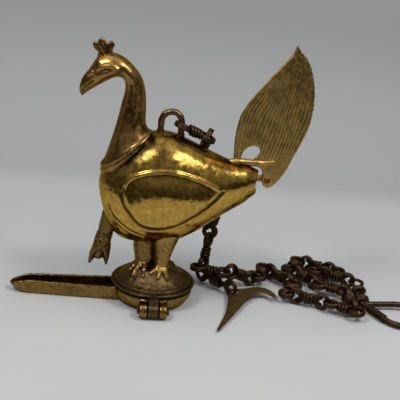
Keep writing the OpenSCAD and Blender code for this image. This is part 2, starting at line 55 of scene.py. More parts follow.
# focal length for a 36 mm wide square picture
CAMERA_LENS = 74.3
CAMERA_SENSOR = 36
FLOOR_HALF_WIDTH = 2200
FLOOR_FRONT = -430
SWEEP_START = 225
SWEEP_RADIUS = 200
WALL_TOP = 1500
LIGHT_TARGET = np.array([0.0, 0.0, 110.0])
# softboxes as [azimuth, elevation, distance, width, height, power in watts]
SOFTBOXES = {
    "left_softbox": (-136, 52, 900, 230, 150, 2.7),
    "right_softbox": (-36, 52, 900, 300, 120, 2.9),
    "top_softbox": (100, 80, 1500, 2400, 1900, 9),
}
# grey of the room round the lamp, near the horizon and overhead
ROOM_LOW = 0.05
ROOM_HIGH = 0.42
FLOOR_GREY = ((0.53, 0.545, 0.545), (0.58, 0.595, 0.59))
# grey of the sweep's upright part, darker than the floor: painted shade for the lesser light on it
WALL_GREY = (0.435, 0.443, 0.439)

# Pan, lid and hinge

PAN_R = 34.5
PAN_H = 14.5
PAN_FOOT_R = 24
PAN_WALL = 2.4
# slope of the rim under the lid's edge
RIM_BEVEL = 1.2
TROUGH_REACH = 121
TROUGH_W = 26
TROUGH_TIP_W = 16
TROUGH_TIP_L = 14
TROUGH_H = 12
TROUGH_RISE = 6
TROUGH_FALL = 4
LID_R = 36
LID_Z = 14.8
LID_T = 3
LID_TOP = 31
LID_WALL = 2.6
MOUND_TOP_R = 18
MOUND_FOOT_R = 30
RING_H = 2.2
SPIGOT_R = 28
SPIGOT_H = 2.4
HINGE_Y = -41
HINGE_Z = 6.8
KNUCKLE_R = 6
KNUCKLE_W = 6
TONGUE_W = 8
KNUCKLE_GAP = 1.2

# Bird

# body rings along X as [x, lowest z, highest z, half width]
BODY_STATIONS = [
    [-51.2, 101, 103, 0.8], [-50.6, 96.6, 107.6, 6], [-49, 89, 113, 12.5], [-46, 79, 119.5, 18.5],
    [-41, 67, 126, 23.5], [-34, 58.2, 133, 28], [-26, 54.4, 139.5, 31], [-16, 52.9, 145.6, 33],
    [-4, 52.8, 148.9, 34], [9, 54, 147.3, 33.6], [21, 58.8, 142.6, 31.6], [33, 66, 137.4, 28.5],
    [45, 75.2, 132, 24.4], [57, 84, 128, 19.6], [69, 92, 125.6, 14.6], [80, 101.4, 121.4, 10],
]
BODY_SIDES = 300
BODY_STEPS = 15
BODY_WALL = 3
CAVITY_FRONT = -44
# hollow at the sides of the rear mouth, and the length over which it fades
MOUTH_SCOOP = 3
MOUTH_FADE = 12
WING_H = 2
WING_EDGE = 5
WING_SWELL = 20
# almond round the wing, as [x, z] on the flank: its upper edge, then its foot
WING_TOP = [[-30.6, 107.5], [-27.3, 113.8], [-19.7, 118.8], [-8, 122.4], [6, 123.2], [20.7, 120.2],
            [34.1, 115.5], [49.1, 107.8]]
WING_FOOT = [[49.1, 107.8], [39.4, 96.2], [24.1, 83.8], [12, 76.6], [0.7, 73], [-8, 73], [-17, 76.6],
             [-27.9, 89.6], [-31.9, 100.7], [-30.6, 107.5]]
# second outline under the breast side of the wing
WING_FRONT = [[-41, 88], [-37.5, 82], [-33.8, 78.6], [-23.6, 70.6], [-12, 65]]

# where the foot of the neck laps over the body
NECK_SEAM = [[-49, 109], [-11, 143]]
# neck rings from the base to the beak, as [front x, front z, back x, back z, half width]
NECK_STATIONS = [
    [-46, 103, -12, 137, 17], [-50.8, 114, -10.6, 147.4, 21.8], [-47.8, 123.5, -14, 149.8, 18.4],
    [-43.6, 138.8, -16.6, 154.4, 14.6], [-39.8, 154.9, -17.3, 159, 11.8], [-37.3, 168.3, -17.6, 169, 10.4],
    [-35.2, 179, -19.2, 180.5, 10], [-35.4, 186.4, -22.6, 191, 10], [-38.5, 189.8, -29, 199.4, 10.4],
    [-43.4, 189.8, -38, 206.2, 11], [-49.4, 186.6, -48, 208.6, 10.8], [-55.5, 182.8, -57.3, 205.4, 9],
    [-60.4, 179.4, -63.2, 196, 6.2], [-65, 175.8, -69.4, 186.6, 4], [-67.8, 173.4, -71, 179, 2.4],
    [-68.9, 172.7, -70.3, 175.4, 1],
]
NECK_SIDES = 132
NECK_STEPS = 12
# beads round the neck's foot, as (station, height)
COLLAR_BEADS = ((0.86, 0.35), (1.36, 0.85))
COLLAR_MID = 1.12
EYE = [-51.4, 195.6]
BROW = [[-57, 196.6], [-54, 198.8], [-50, 200], [-45.6, 199.8], [-42, 197.6]]
FOREHEAD = [-57, 202]
CHEEK = [[-57, 190.4], [-52, 191.6], [-47, 193.6], [-43.6, 196.4]]
BEAK_LINES = ([[-69.6, 176.4], [-65.4, 182], [-60.4, 187]], [[-67.8, 174.8], [-62, 181], [-54, 185.6]])
NOSTRIL = [[-64, 190.6], [-61.4, 193.4]]
NECK_FLUTES = 9

CREST_OUTLINE = [
    [-57.4, 203], [-58.2, 208], [-61, 210.6], [-62.6, 213.8], [-61, 216.4], [-58.9, 216.2],
    [-57.8, 218.6], [-55.8, 219.8], [-53.6, 218.8], [-52.2, 216.6], [-50.6, 216.4], [-48.8, 217.8],
    [-46.4, 217.2], [-45.2, 214.4], [-46.6, 211], [-46, 207], [-44.6, 203],
]
CREST_T = 3.6
# folds between the lobes and up the middle of each
CREST_FOLDS = ([[-54, 206], [-56.6, 211], [-58.9, 214.4]], [[-50.6, 206], [-50.8, 211], [-51.4, 215.4]],
               [[-55.6, 214], [-56, 217.6]], [[-59, 211.6], [-61, 212.6]], [[-48.4, 213], [-47.6, 216]])

# legs as [top of the thigh, knee, ankle, radii of these three, ends of the toes as [x, y]]
NEAR_LEG = ([7.6, -10, 62], [6.4, -10.4, 47], [5.8, -10.8, 35.8], (11.6, 7, 5.2),
            ([-3.4, -18.6], [3, -21.4], [10.6, -20.4], [12.4, -7]))
FAR_LEG = ([-9, 4, 60], [-8.4, 2.4, 46], [-7.6, 1, 36.4], (11.4, 10.4, 9.6),
           ([-20.6, -7], [-17.6, -14.6], [-9.6, -19.2], [-6, 6]))

# spout: neck, upper beak, lower beak and mouth as limbs of [x, z, radius] at each end, with its lines
SPOUT_LIMBS = [
    [-39, 73, 8.4, -43.2, 58, 6.2], [-43.2, 58, 6.2, -45.4, 49.5, 7.2], [-47, 46.5, 5.8, -52.6, 37, 3.2],
    [-52.6, 37, 3.2, -55.2, 29.4, 1.1], [-43.4, 46, 5.6, -41.4, 36, 3.1], [-41.4, 36, 3.1, -41, 28.6, 1.1],
    [-46.4, 47, 6.2, -47.8, 37.4, 4.7],
]
SPOUT_GROOVES = ([[-53.6, 33], [-50.6, 40], [-46.4, 43.6]], [[-42.4, 32], [-43.6, 38.6], [-45.8, 42.4]])
SPOUT_COLLAR = [[-51, 57], [-36, 55.4]]

# outline of the tail plate from its foot, round the leaf and down to the tongue, as [x, z]
TAIL_LEFT = [[58, 127.6], [57.2, 140], [57.3, 152], [59.5, 166], [65.5, 178.5], [75, 192], [86, 206.5],
             [95, 218.5], [98.6, 227.6]]
TAIL_RIGHT = [[98.6, 227.6], [102.4, 222.6], [109, 216], [114.6, 204.5], [118.4, 188.4], [118.8, 171.7],
              [116.4, 157], [110.8, 141.5], [103, 122.5]]
TAIL_FOOT = [[103, 122.5], [96.5, 112], [90, 106.6], [85.2, 108.4], [83.6, 114], [83.2, 120], [80.4, 123.6],
             [76, 125.4], [68, 126.6], [60, 127.8]]
TAIL_GAP = [[64.4, 130.6], [66, 137], [71, 141.4], [77, 141.2], [79.2, 137], [75.8, 132.4], [70, 129.8]]
# bar along the foot of the tail, as [x, z, radius]
TAIL_BAR = [[56, 126.4, 3.4], [64, 127.4, 3.1], [74, 127.4, 2.9], [83, 127.6, 2.7], [92, 129.6, 1.6]]
TAIL_T = 2.8
TAIL_LINES = 19
TAIL_TEETH = 30
# heights between which the lines of the leaf run
TAIL_LINE_Z = (128, 226)
# plug in the rear mouth, as rings of [x, radius] at this height
PLUG_RINGS = ((70, 4), (70, 8.6), (75, 8.2), (77.6, 7.4), (78.4, 5), (78.6, 2))
PLUG_Z = 111.4

BAIL_MID_X = 4.1
BAIL_R = 8.3
BAIL_D = 5.2
BAIL_ARCH_Z = 157
BAIL_FOOT_Z = 145.4
LUG_AT = (88, 113.6)
LUG_R = 5
LUG_T = 4

# Chain

WIRE_D = 3
# wire of the dressed links, which lies in two turns at each eye
TURN_D = 3.2
EYE_R = 6
EYE_PITCH = 23
WIND_D = 2.8
WIND_PITCH = 2.8
WIND_TURNS = 3.5
HOOK_GAP = 0.25
# distance between the middles of two hooked eyes
HOOK = 2 * EYE_R - WIRE_D - HOOK_GAP
STRAND_Y = 1.3
# half of the distance between the two turns of an eye
TURN_SPREAD = 1.5
# radius and half sweep of the wire's end, laid inside an eye on the side of its neck
END_R = 3.4
END_SWEEP = math.radians(80)
# angle in degrees between the neck and the ends of an eye, and half the width that the winding holds
EYE_OPEN = 42
NECK_HALF_W = 2.65
HANGING_LINKS = 6
# heading of each link as [azimuth, rise] in degrees
LAY = [[10, -23], [92.2, -38.5], [13.1, -41], [46.2, -87.5], [-168.4, -78], [-120, -73.5],
       [-21.5, 0], [22.5, -22.5], [69.1, 0], [-54.5, 0], [-118.3, 0], [-23.7, 0], [-32.9, 0],
       [91.7, 0], [156.1, 0], [123.1, 0], [57.4, 0], [-29.4, 0], [-174, 0], [-29.9, 0]]
# middle of the first link's near eye
CHAIN_START = np.array([BAIL_MID_X + BAIL_R + 1.4, 0.2, 153.75])
PICK_PITCH = 36
PICK_AZIMUTH = -50
PICK_SPREAD = 0.5
PICK_DROP = 1.9
PICK_TIP = math.radians(3.4)
PICK_T = 2
PICK_HOLE_R = 2.8
PICK_OUTLINE = [
    [-5.2, 1.4], [-2.6, 5.4], [3.2, 5.4], [10, 6.6], [17, 9.8], [23, 11], [30, 8.2], [35.4, 1.4],
    [37, -5.6], [34.6, -6.4], [30.6, -1.6], [25.4, 1], [20, -0.6], [14.4, -6], [8.6, -14], [2, -26],
    [-6.4, -41], [-18, -61.4], [-21.4, -66], [-20.6, -60.4], [-12.4, -38], [-8.2, -18], [-6.4, -5],
]
LOOP_HEADING = (-94.6, -3.5)
LOOP_TURN = math.radians(66)
LOOP_D = 5.2
LOOP_STRAND_Y = 1.75
SHANK_L = 40
LOOP_L = 34
LOOP_R = 19
LOOP_EYE_OPEN = 48
LOOP_NECK_HALF_W = 3.6
NECK_WIND_X = 15
SHANK_WIND = 7
WRAP_TURNS = 8
WRAP_D = 1.6


# Curves and skins

def unit(v):
    return v / np.linalg.norm(v)


def smooth(t):
    s = np.clip(t, 0, 1)
    return s * s * (3 - 2 * s)


def spline(points, steps, closed=False):
    """A smooth curve through the points, with that many steps to each span."""
    p = np.asarray(points, float)
    n = len(p)
    t = np.arange(steps)[:, None] / steps
    rows = []
    for i in range(n if closed else n - 1):
        a, b, c, d = (p[(i + k) % n] if closed else p[min(max(i + k, 0), n - 1)] for k in (-1, 0, 1, 2))
        curve = 2 * b + (c - a) * t
        curve = curve + (2 * a - 5 * b + 4 * c - d) * t ** 2
        curve = curve + (3 * b - a - 3 * c + d) * t ** 3
        rows.append(curve / 2)
    if not closed:
        rows.append(p[-1:])
    return np.vstack(rows)


def loft(rings, closed=False):
    """Points and faces of a skin over rings of equal counts of points, capped unless it closes on itself."""
    m, n = rings.shape[:2]
    j = np.arange(n)
    k = (j + 1) % n
    faces = []
    for i in range(m if closed else m - 1):
        a, b = i * n, (i + 1) % m * n
        faces += np.stack([a + j, a + k, b + k, b + j], 1).tolist()
    points = rings.reshape(-1, 3)
    if not closed:
        points = np.vstack([points, rings[0].mean(0), rings[-1].mean(0)])
        faces += [[m * n, int(q), int(p)] for p, q in zip(j, k)]
        faces += [[m * n + 1, (m - 1) * n + int(p), (m - 1) * n + int(q)] for p, q in zip(j, k)]
    return points, faces


def join(*parts):
    """Several skins as one."""
    points, faces, start = [], [], 0
    for p, f in parts:
        points.append(np.asarray(p, float))
        faces += [[int(v) + start for v in face] for face in f]
        start += len(p)
    return np.vstack(points), faces


def placed(part, frame_of):
    """A skin made in a frame of [origin, x, z] put where that frame is."""
    origin, x, z = frame_of
    turn = np.array([x, np.cross(z, x), z])
    return part[0] @ turn + origin, part[1]


def tube(path, radius, sides=14, closed=False):
    """A round bar along a path; radius is a number or one for each point. Open ends are rounded."""
    path = np.asarray(path, float)
    r = np.broadcast_to(np.asarray(radius, float), len(path)).copy()
    if not closed:
        ahead = unit(path[-1] - path[-2])
        behind = unit(path[0] - path[1])
        swell = np.array([0.5, 0.87])
        path = np.vstack([path[0] + behind * r[0] * 0.87, path[0] + behind * r[0] * 0.5, path,
                          path[-1] + ahead * r[-1] * 0.5, path[-1] + ahead * r[-1] * 0.87])
        r = np.concatenate([r[0] * swell, r, r[-1] * swell[::-1]])
    n = len(path)
    tangent = np.roll(path, -1, 0) - np.roll(path, 1, 0)
    if not closed:
        tangent[0], tangent[-1] = path[1] - path[0], path[-1] - path[-2]
    tangent /= np.linalg.norm(tangent, axis=1)[:, None]
    side = unit(np.cross(tangent[0], UP if abs(tangent[0] @ UP) < 0.9 else [1.0, 0, 0]))
    a = np.arange(sides) * 2 * np.pi / sides
    rings = np.empty((n, sides, 3))
    for i in range(n):
        side = unit(side - tangent[i] * (side @ tangent[i]))
        rise = np.cross(tangent[i], side)
        rings[i] = path[i] + r[i] * (np.cos(a)[:, None] * side + np.sin(a)[:, None] * rise)
    return loft(rings, closed)


def revolve(profile, sides=180):
    """A closed profile of [radius, z] turned round Z."""
    p = np.asarray(profile, float)
    a = np.arange(sides) * 2 * np.pi / sides
    x = np.outer(np.cos(a), p[:, 0])
    y = np.outer(np.sin(a), p[:, 0])
    return loft(np.stack([x, y, np.broadcast_to(p[:, 1], x.shape)], -1), closed=True)


def ball_hull(p, pr, q, qr):
    """A limb that tapers between two balls."""
    bm = bmesh.new()
    for centre, r in ((p, pr), (q, qr)):
        bmesh.ops.create_icosphere(bm, subdivisions=3, radius=r, matrix=Matrix.Translation(Vector(centre)))
    hull = bmesh.ops.convex_hull(bm, input=bm.verts)
    inner = [e for e in hull["geom_interior"] if isinstance(e, bmesh.types.BMVert)]
    bmesh.ops.delete(bm, geom=inner, context="VERTS")
    bm.verts.index_update()
    part = np.array([v.co for v in bm.verts]), [[v.index for v in f.verts] for f in bm.faces]
    bm.free()
    return part


def raw_object(name, part):
    mesh = bpy.data.meshes.new(name)
    mesh.from_pydata((part[0] * MM).tolist(), [], [tuple(f) for f in part[1]])
    bm = bmesh.new()
    bm.from_mesh(mesh)
    bmesh.ops.recalc_face_normals(bm, faces=bm.faces)
    bm.to_mesh(mesh)
    bm.free()
    obj = bpy.data.objects.new(name, mesh)
    bpy.context.scene.collection.objects.link(obj)
    return obj


def melted(part, voxel, rounds, cut=None):
    """One skin over overlapping solids, less a cut, with its corners worn soft."""
    obj = raw_object("melting", part)
    made = [obj]
    if cut is not None:
        tool = raw_object("cutting", cut)
        made.append(tool)
        first = obj.modifiers.new("first", "REMESH")
        first.mode = "VOXEL"
        first.voxel_size = voxel * MM
        carve = obj.modifiers.new("carve", "BOOLEAN")
        carve.operation = "DIFFERENCE"
        carve.solver = "EXACT"
        carve.object = tool
    remesh = obj.modifiers.new("remesh", "REMESH")
    remesh.mode = "VOXEL"
    remesh.voxel_size = voxel * MM
    soften = obj.modifiers.new("soften", "SMOOTH")
    soften.factor = 0.5
    soften.iterations = rounds
    mesh = bpy.data.meshes.new_from_object(obj.evaluated_get(bpy.context.evaluated_depsgraph_get()))
    points = np.array([v.co for v in mesh.vertices]) / MM
    faces = [list(p.vertices) for p in mesh.polygons]
    bpy.data.meshes.remove(mesh)
    for o in made:
        data = o.data
        bpy.data.objects.remove(o)
        bpy.data.meshes.remove(data)
    return points, faces


# Relief

def near_line(points, line):
    """Distance in the plane from each point to a line of points."""
    best = np.full(len(points), 1e9)
    for a, b in zip(line[:-1], line[1:]):
        v = b - a
        t = np.clip((points - a) @ v / (v @ v), 0, 1)
        best = np.minimum(best, np.linalg.norm(points - a - t[:, None] * v, axis=1))
    return best


def inside(points, outline):
    """Whether each point of the plane lies in a closed outline."""
    odd = np.zeros(len(points), bool)
    for a, b in zip(outline, np.roll(outline, -1, 0)):
        crosses = (a[1] > points[:, 1]) != (b[1] > points[:, 1])
        if crosses.any():
            at = a[0] + (points[:, 1] - a[1]) * (b[0] - a[0]) / (b[1] - a[1] + 1e-12)
            odd ^= crosses & (points[:, 0] < at)
    return odd


def bump(distance, width):
    return np.exp(-(distance / width) ** 2)


def normals_of(part):
    obj = raw_object("normals", part)
    n = np.array([v.normal for v in obj.data.vertices])
    mesh = obj.data
    bpy.data.objects.remove(obj)
    bpy.data.meshes.remove(mesh)
    return n


def raised(part, height):
    """A skin moved along its normals by a height for each point."""
    return part[0] + normals_of(part) * np.asarray(height)[:, None], part[1]


def ripple(points, size, seed):
    """Gentle unevenness of a hand-made surface, from -1 to 1."""
    shift = Vector((seed * 7.3, seed * 3.1, seed * 5.7))
    return np.array([noise.fractal(Vector(p) / size + shift, 0.6, 2.0, 3) for p in points])


def hand_made(part, height, size, seed):
    return raised(part, height * ripple(part[0], size, seed))


def plate(outline, spacing, half_t, edge, relief=None, holes=()):
    """A flat plate with rounded edges, in its own XY plane; relief lowers both faces."""
    rims = [np.asarray(outline, float)] + [np.asarray(h, float) for h in holes]
    lines = [np.vstack([r, r[:1]]) for r in rims]
    lo, hi = rims[0].min(0), rims[0].max(0)
    rows = []
    for i, y in enumerate(np.arange(lo[1], hi[1], spacing * 0.866)):
        x = np.arange(lo[0] + (i % 2) * spacing / 2, hi[0], spacing)
        rows.append(np.c_[x, np.full(len(x), y)])
    grid = np.vstack(rows)

    def depth(p):
        return np.min([near_line(p, line) for line in lines], axis=0)

    def within(p):
        keep = inside(p, rims[0])
        for r in rims[1:]:
            keep &= ~inside(p, r)
        return keep

    inner = [grid[within(grid)]]
    for rim in rims:
        along = np.roll(rim, -1, 0) - np.roll(rim, 1, 0)
        across = np.c_[-along[:, 1], along[:, 0]] / np.linalg.norm(along, axis=1)[:, None]
        for share in (0.12, 0.45, 1.0):
            for sign in (-1, 1):
                moved = rim + sign * share * edge * across
                moved = moved[within(moved)]
                inner.append(moved[depth(moved) > 0.9 * share * edge])
    loops = np.vstack(inner[1:])
    body = inner[0][depth(inner[0]) > edge * 1.3]
    rim_points = np.vstack(rims)
    flat = np.vstack([rim_points, loops, body])
    edges, start = [], 0
    for rim in rims:
        edges += [(start + i, start + (i + 1) % len(rim)) for i in range(len(rim))]
        start += len(rim)
    verts, _, tris, *_ = delaunay_2d_cdt([Vector(p) for p in flat], edges, [], 0, 1e-5)
    flat = np.array([v[:] for v in verts])
    tris = np.array([t for t in tris if len(t) == 3])
    tris = tris[within(flat[tris].mean(1))]
    d = depth(flat)
    on_rim = d < 1e-4
    h = half_t * np.sqrt(np.clip(1 - (1 - np.clip(d / edge, 0, 1)) ** 2, 0, 1))
    if relief is not None:
        h = h - np.where(on_rim, 0, relief(flat) * np.clip(d / edge, 0, 1))
    n = len(flat)
    under = np.where(on_rim, np.arange(n), np.arange(n) + n)
    points = np.vstack([np.c_[flat, h], np.c_[flat, -h]])
    faces = tris.tolist() + under[tris][:, ::-1].tolist()
    used = np.unique(np.array(faces))
    where = np.full(2 * n, -1)
    where[used] = np.arange(len(used))
    return points[used], where[np.array(faces)].tolist()


# Materials

def mix_rgb(tree, factor, a, b, kind="MIX"):
    node = tree.nodes.new("ShaderNodeMix")
    node.data_type = "RGBA"
    node.blend_type = kind
    node.clamp_factor = True
    for socket, value in ((node.inputs[0], factor), (node.inputs[6], a), (node.inputs[7], b)):
        if isinstance(value, bpy.types.NodeSocket):
            tree.links.new(value, socket)
        elif isinstance(value, (int, float)):
            socket.default_value = value
        else:
            socket.default_value = (*value, 1)
    return node.outputs[2]


def math_node(tree, kind, a, b):
    node = tree.nodes.new("ShaderNodeMath")
    node.operation = kind
    for socket, value in zip(node.inputs, (a, b)):
        if isinstance(value, bpy.types.NodeSocket):
            tree.links.new(value, socket)
        else:
            socket.default_value = value
    return node.outputs[0]


def ramp(tree, value, lo, hi, out_lo=0.0, out_hi=1.0):
    node = tree.nodes.new("ShaderNodeMapRange")
    node.interpolation_type = "SMOOTHSTEP"
    tree.links.new(value, node.inputs[0])
    for socket, number in zip(node.inputs[1:5], (lo, hi, out_lo, out_hi)):
        socket.default_value = number
    return node.outputs[0]


def noise_node(tree, place, scale, detail=4.0, rough=0.55):
    node = tree.nodes.new("ShaderNodeTexNoise")
    node.inputs["Scale"].default_value = scale
    node.inputs["Detail"].default_value = detail
    node.inputs["Roughness"].default_value = rough
    tree.links.new(place, node.inputs["Vector"])
    return node.outputs[0]


def value_of(tree, name):
    node = tree.nodes.new("ShaderNodeAttribute")
    node.attribute_name = name
    return node.outputs["Fac"]


def plus(tree, a, b, share):
    """a and a share of b."""
    return math_node(tree, "ADD", a, math_node(tree, "MULTIPLY", b, share))


# waves to the metre of the clouds of patina, drawn out or not, of the mottling and the grain, and of the pits
CLOUD_SCALE = 34
DRAWN_SCALE = 110
MOTTLE_SCALE = 260
GRAIN_SCALE = 1500
PIT_SCALE = 620
PIT_PATCH_SCALE = 70
RELIEF_STRENGTH = 0.35
RELIEF_DEPTH = 0.0004


def aged_metal(name, bright, brown, patina, shine, dull, pits, streak=1.0):
    """Cast or drawn brass: rubbed bright on its edges, brown where hands and cloth don't reach.

    patina is the share of brown, shine and dull the roughness of rubbed and brown metal, pits the depth of
    its pits. A streak below 1 draws the clouds of patina out along Z.
    """
    material = bpy.data.materials.new(name)
    material.use_nodes = True
    tree = material.node_tree
    shader = tree.nodes["Principled BSDF"]
    place = tree.nodes.new("ShaderNodeTexCoord").outputs["Object"]
    drawn = tree.nodes.new("ShaderNodeVectorMath")
    drawn.operation = "MULTIPLY"
    tree.links.new(place, drawn.inputs[0])
    drawn.inputs[1].default_value = (1, 1, streak)
    wear = value_of(tree, "wear")
    shade_and_grime = value_of(tree, "shade_and_grime")
    cloud = noise_node(tree, drawn.outputs[0], CLOUD_SCALE if streak == 1 else DRAWN_SCALE, 5)
    mottle = noise_node(tree, place, MOTTLE_SCALE, 5, 0.65)
    grain = noise_node(tree, place, GRAIN_SCALE, 3)
    # brown share: clouds of patina, kept in hollows and rubbed off raised edges
    share = plus(tree, plus(tree, cloud, mottle, 0.35), wear, -1.3)
    share = ramp(tree, share, 0.32 - patina, 0.62 - patina)
    colour = mix_rgb(tree, share, bright, brown)
    tint = ramp(tree, mottle, 0.3, 0.75, 0.62, 1.12)
    speck = tree.nodes.new("ShaderNodeTexVoronoi")
    speck.inputs["Scale"].default_value = PIT_SCALE
    tree.links.new(place, speck.inputs["Vector"])
    sparse = ramp(tree, noise_node(tree, place, PIT_PATCH_SCALE, 3), 0.46, 0.62)
    pit = math_node(tree, "MULTIPLY", ramp(tree, speck.outputs["Distance"], 0.3, 0.12), sparse)
    dim = math_node(tree, "MULTIPLY", tint, plus(tree, 1.0, pit, -pits))
    grey = tree.nodes.new("ShaderNodeCombineColor")
    for socket in grey.inputs:
        tree.links.new(dim, socket)
    colour = mix_rgb(tree, 1.0, colour, grey.outputs[0], "MULTIPLY")
    # the per-point darkening mixes the colour towards near black: painted shade in grooves, folds, gaps and
    # on bands, and in places a plain darker tone
    colour = mix_rgb(tree, shade_and_grime, colour, DARK_SHADE_AND_GRIME)
    tree.links.new(colour, shader.inputs["Base Color"])
    rough = ramp(tree, share, 0, 1, shine, dull)
    rough = math_node(tree, "ADD", rough, ramp(tree, mottle, 0.35, 0.7, -0.05, 0.08))
    rough = plus(tree, rough, shade_and_grime, 0.1)
    tree.links.new(rough, shader.inputs["Roughness"])
    height = math_node(tree, "MULTIPLY", mottle, 0.55)
    height = plus(tree, plus(tree, height, grain, 0.16), pit, -0.5 * pits)
    relief = tree.nodes.new("ShaderNodeBump")
    relief.inputs["Strength"].default_value = RELIEF_STRENGTH
    relief.inputs["Distance"].default_value = RELIEF_DEPTH
    tree.links.new(height, relief.inputs["Height"])
    tree.links.new(relief.outputs[0], shader.inputs["Normal"])
    shader.inputs["Metallic"].default_value = 1.0
    shader.inputs["Specular Tint"].default_value = (*EDGE_TINT, 1)
    return material


# near-black colour of the painted shade, and of the plain darker tone, that the darkening value mixes in
DARK_SHADE_AND_GRIME = (0.02, 0.014, 0.009)
# reflection of brown metal seen at a low angle
EDGE_TINT = (0.78, 0.6, 0.4)
BRASS = aged_metal("polished_brass", (0.6, 0.365, 0.075), (0.2, 0.11, 0.03), 0.1, 0.15, 0.38, 0.75)
NECK_BRASS = aged_metal("brown_brass", (0.38, 0.22, 0.068), (0.12, 0.066, 0.026), 0.33, 0.27, 0.42, 0.4, 0.1)
LEG_BRASS = aged_metal("leg_brass", (0.44, 0.27, 0.08), (0.16, 0.096, 0.036), 0.22, 0.34, 0.5, 0.6)
BRONZE = aged_metal("bronze_patina", (0.3, 0.18, 0.055), (0.1, 0.06, 0.025), 0.28, 0.28, 0.5, 0.6)
LID_BRONZE = aged_metal("lid_bronze", (0.13, 0.082, 0.036), (0.055, 0.034, 0.018), 0.26, 0.44, 0.6, 0.7)
TAIL_BRASS = aged_metal("tail_brass", (0.57, 0.36, 0.11), (0.28, 0.165, 0.062), 0.14, 0.36, 0.54, 0.5)
DARK_BRONZE = aged_metal("dark_bronze", (0.19, 0.12, 0.052), (0.07, 0.043, 0.022), 0.26, 0.36, 0.56, 0.6)
WIRE = aged_metal("wire_patina", (0.08, 0.047, 0.026), (0.028, 0.018, 0.012), 0.26, 0.42, 0.62, 0.7)


def mark_wear(mesh, gain):
    """Writes how raised (above 0.5) or hollow (below 0.5) the surface is at each point."""
    n = len(mesh.vertices)
    co = np.empty(n * 3)
    mesh.vertices.foreach_get("co", co)
    co = co.reshape(-1, 3)
    normal = np.array([v.normal for v in mesh.vertices])
    edges = np.empty(len(mesh.edges) * 2, np.int64)
    mesh.edges.foreach_get("vertices", edges)
    a, b = edges.reshape(-1, 2).T
    count = np.bincount(a, minlength=n) + np.bincount(b, minlength=n)

    def around(values):
        total = np.zeros_like(values)
        np.add.at(total, a, values[b])
        np.add.at(total, b, values[a])
        return total / np.maximum(count, 1)[:, None]

    length = np.linalg.norm(co[a] - co[b], axis=1).mean()
    bend = -((around(co) - co) * normal).sum(1) / length
    for _ in range(4):
        bend = 0.5 * bend + 0.5 * around(bend[:, None])[:, 0]
    wear = np.clip(0.5 + gain * bend, 0, 1).astype(np.float32)
    mesh.attributes.new("wear", "FLOAT", "POINT").data.foreach_set("value", wear)


def piece(name, part, body, slot, material, *nodes, gain=3.0, shade_and_grime=None):
    """A finished piece that rides on a body and stands for these nodes."""
    obj = raw_object(name, part)
    obj.data.polygons.foreach_set("use_smooth", np.ones(len(obj.data.polygons), bool))
    mark_wear(obj.data, gain)
    # per-point darkening stored on the mesh: painted shade in grooves, gaps and bands, and a plain darker
    # tone where given
    values = np.zeros(len(obj.data.vertices)) if shade_and_grime is None else np.clip(shade_and_grime, 0, 1)
    obj.data.attributes.new("shade_and_grime", "FLOAT", "POINT").data.foreach_set("value", values.astype(np.float32))
    obj.data.materials.append(material)
    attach(obj, body)
    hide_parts(*nodes)
    return obj


# Stage: camera, floor and light

def look_along(at, target, roll=0.0):
    """Object matrix of a camera or lamp at a point, in mm, that looks at the target."""
    ahead = unit(np.asarray(target) - at)
    right = unit(np.cross(ahead, UP))
    top = np.cross(right, ahead)
    across = right * math.cos(roll) + top * math.sin(roll)
    over = top * math.cos(roll) - right * math.sin(roll)
    matrix = Matrix.Identity(4)
    for k in range(3):
        matrix[k][:] = (across[k], over[k], -ahead[k], at[k] * MM)
    return matrix


def make_camera():
    camera = bpy.data.cameras.new("camera")
    camera.lens = CAMERA_LENS
    camera.sensor_width = CAMERA_SENSOR
    camera.sensor_height = CAMERA_SENSOR
    obj = bpy.data.objects.new("camera", camera)
    obj.matrix_world = look_along(CAMERA_AT, CAMERA_TARGET, CAMERA_ROLL)
    bpy.context.scene.collection.objects.link(obj)
    bpy.context.scene.camera = obj


def stage_material():
    material = bpy.data.materials.new("pale_stage")
    material.use_nodes = True
    tree = material.node_tree
    shader = tree.nodes["Principled BSDF"]
    place = tree.nodes.new("ShaderNodeTexCoord").outputs["Object"]
    cloud = ramp(tree, noise_node(tree, place, 3.2, 4), 0.3, 0.7)
    colour = mix_rgb(tree, cloud, *FLOOR_GREY)
    split = tree.nodes.new("ShaderNodeSeparateXYZ")
    tree.links.new(place, split.inputs[0])
    # the upright part of the sweep takes the darker wall grey: painted shade for the lesser light on it
    colour = mix_rgb(tree, ramp(tree, split.outputs[2], 0.0, 0.016), colour, WALL_GREY)
    speck = tree.nodes.new("ShaderNodeTexVoronoi")
    speck.inputs["Scale"].default_value = 55
    tree.links.new(place, speck.inputs["Vector"])
    rare = ramp(tree, noise_node(tree, place, 19, 2), 0.66, 0.7)
    dot = math_node(tree, "MULTIPLY", ramp(tree, speck.outputs["Distance"], 0.09, 0.05), rare)
    colour = mix_rgb(tree, math_node(tree, "MULTIPLY", dot, 0.5), colour, (0.16, 0.14, 0.12))
    tree.links.new(colour, shader.inputs["Base Color"])
    shader.inputs["Roughness"].default_value = 0.62
    # a camera behind the backdrop or under the floor looks through it
    back = tree.nodes.new("ShaderNodeNewGeometry").outputs["Backfacing"]
    camera_ray = tree.nodes.new("ShaderNodeLightPath").outputs["Is Camera Ray"]
    seen_through = tree.nodes.new("ShaderNodeMixShader")
    tree.links.new(math_node(tree, "MULTIPLY", back, camera_ray), seen_through.inputs[0])
    tree.links.new(shader.outputs[0], seen_through.inputs[1])
    tree.links.new(tree.nodes.new("ShaderNodeBsdfTransparent").outputs[0], seen_through.inputs[2])
    tree.links.new(seen_through.outputs[0], tree.nodes["Material Output"].inputs["Surface"])
    return material


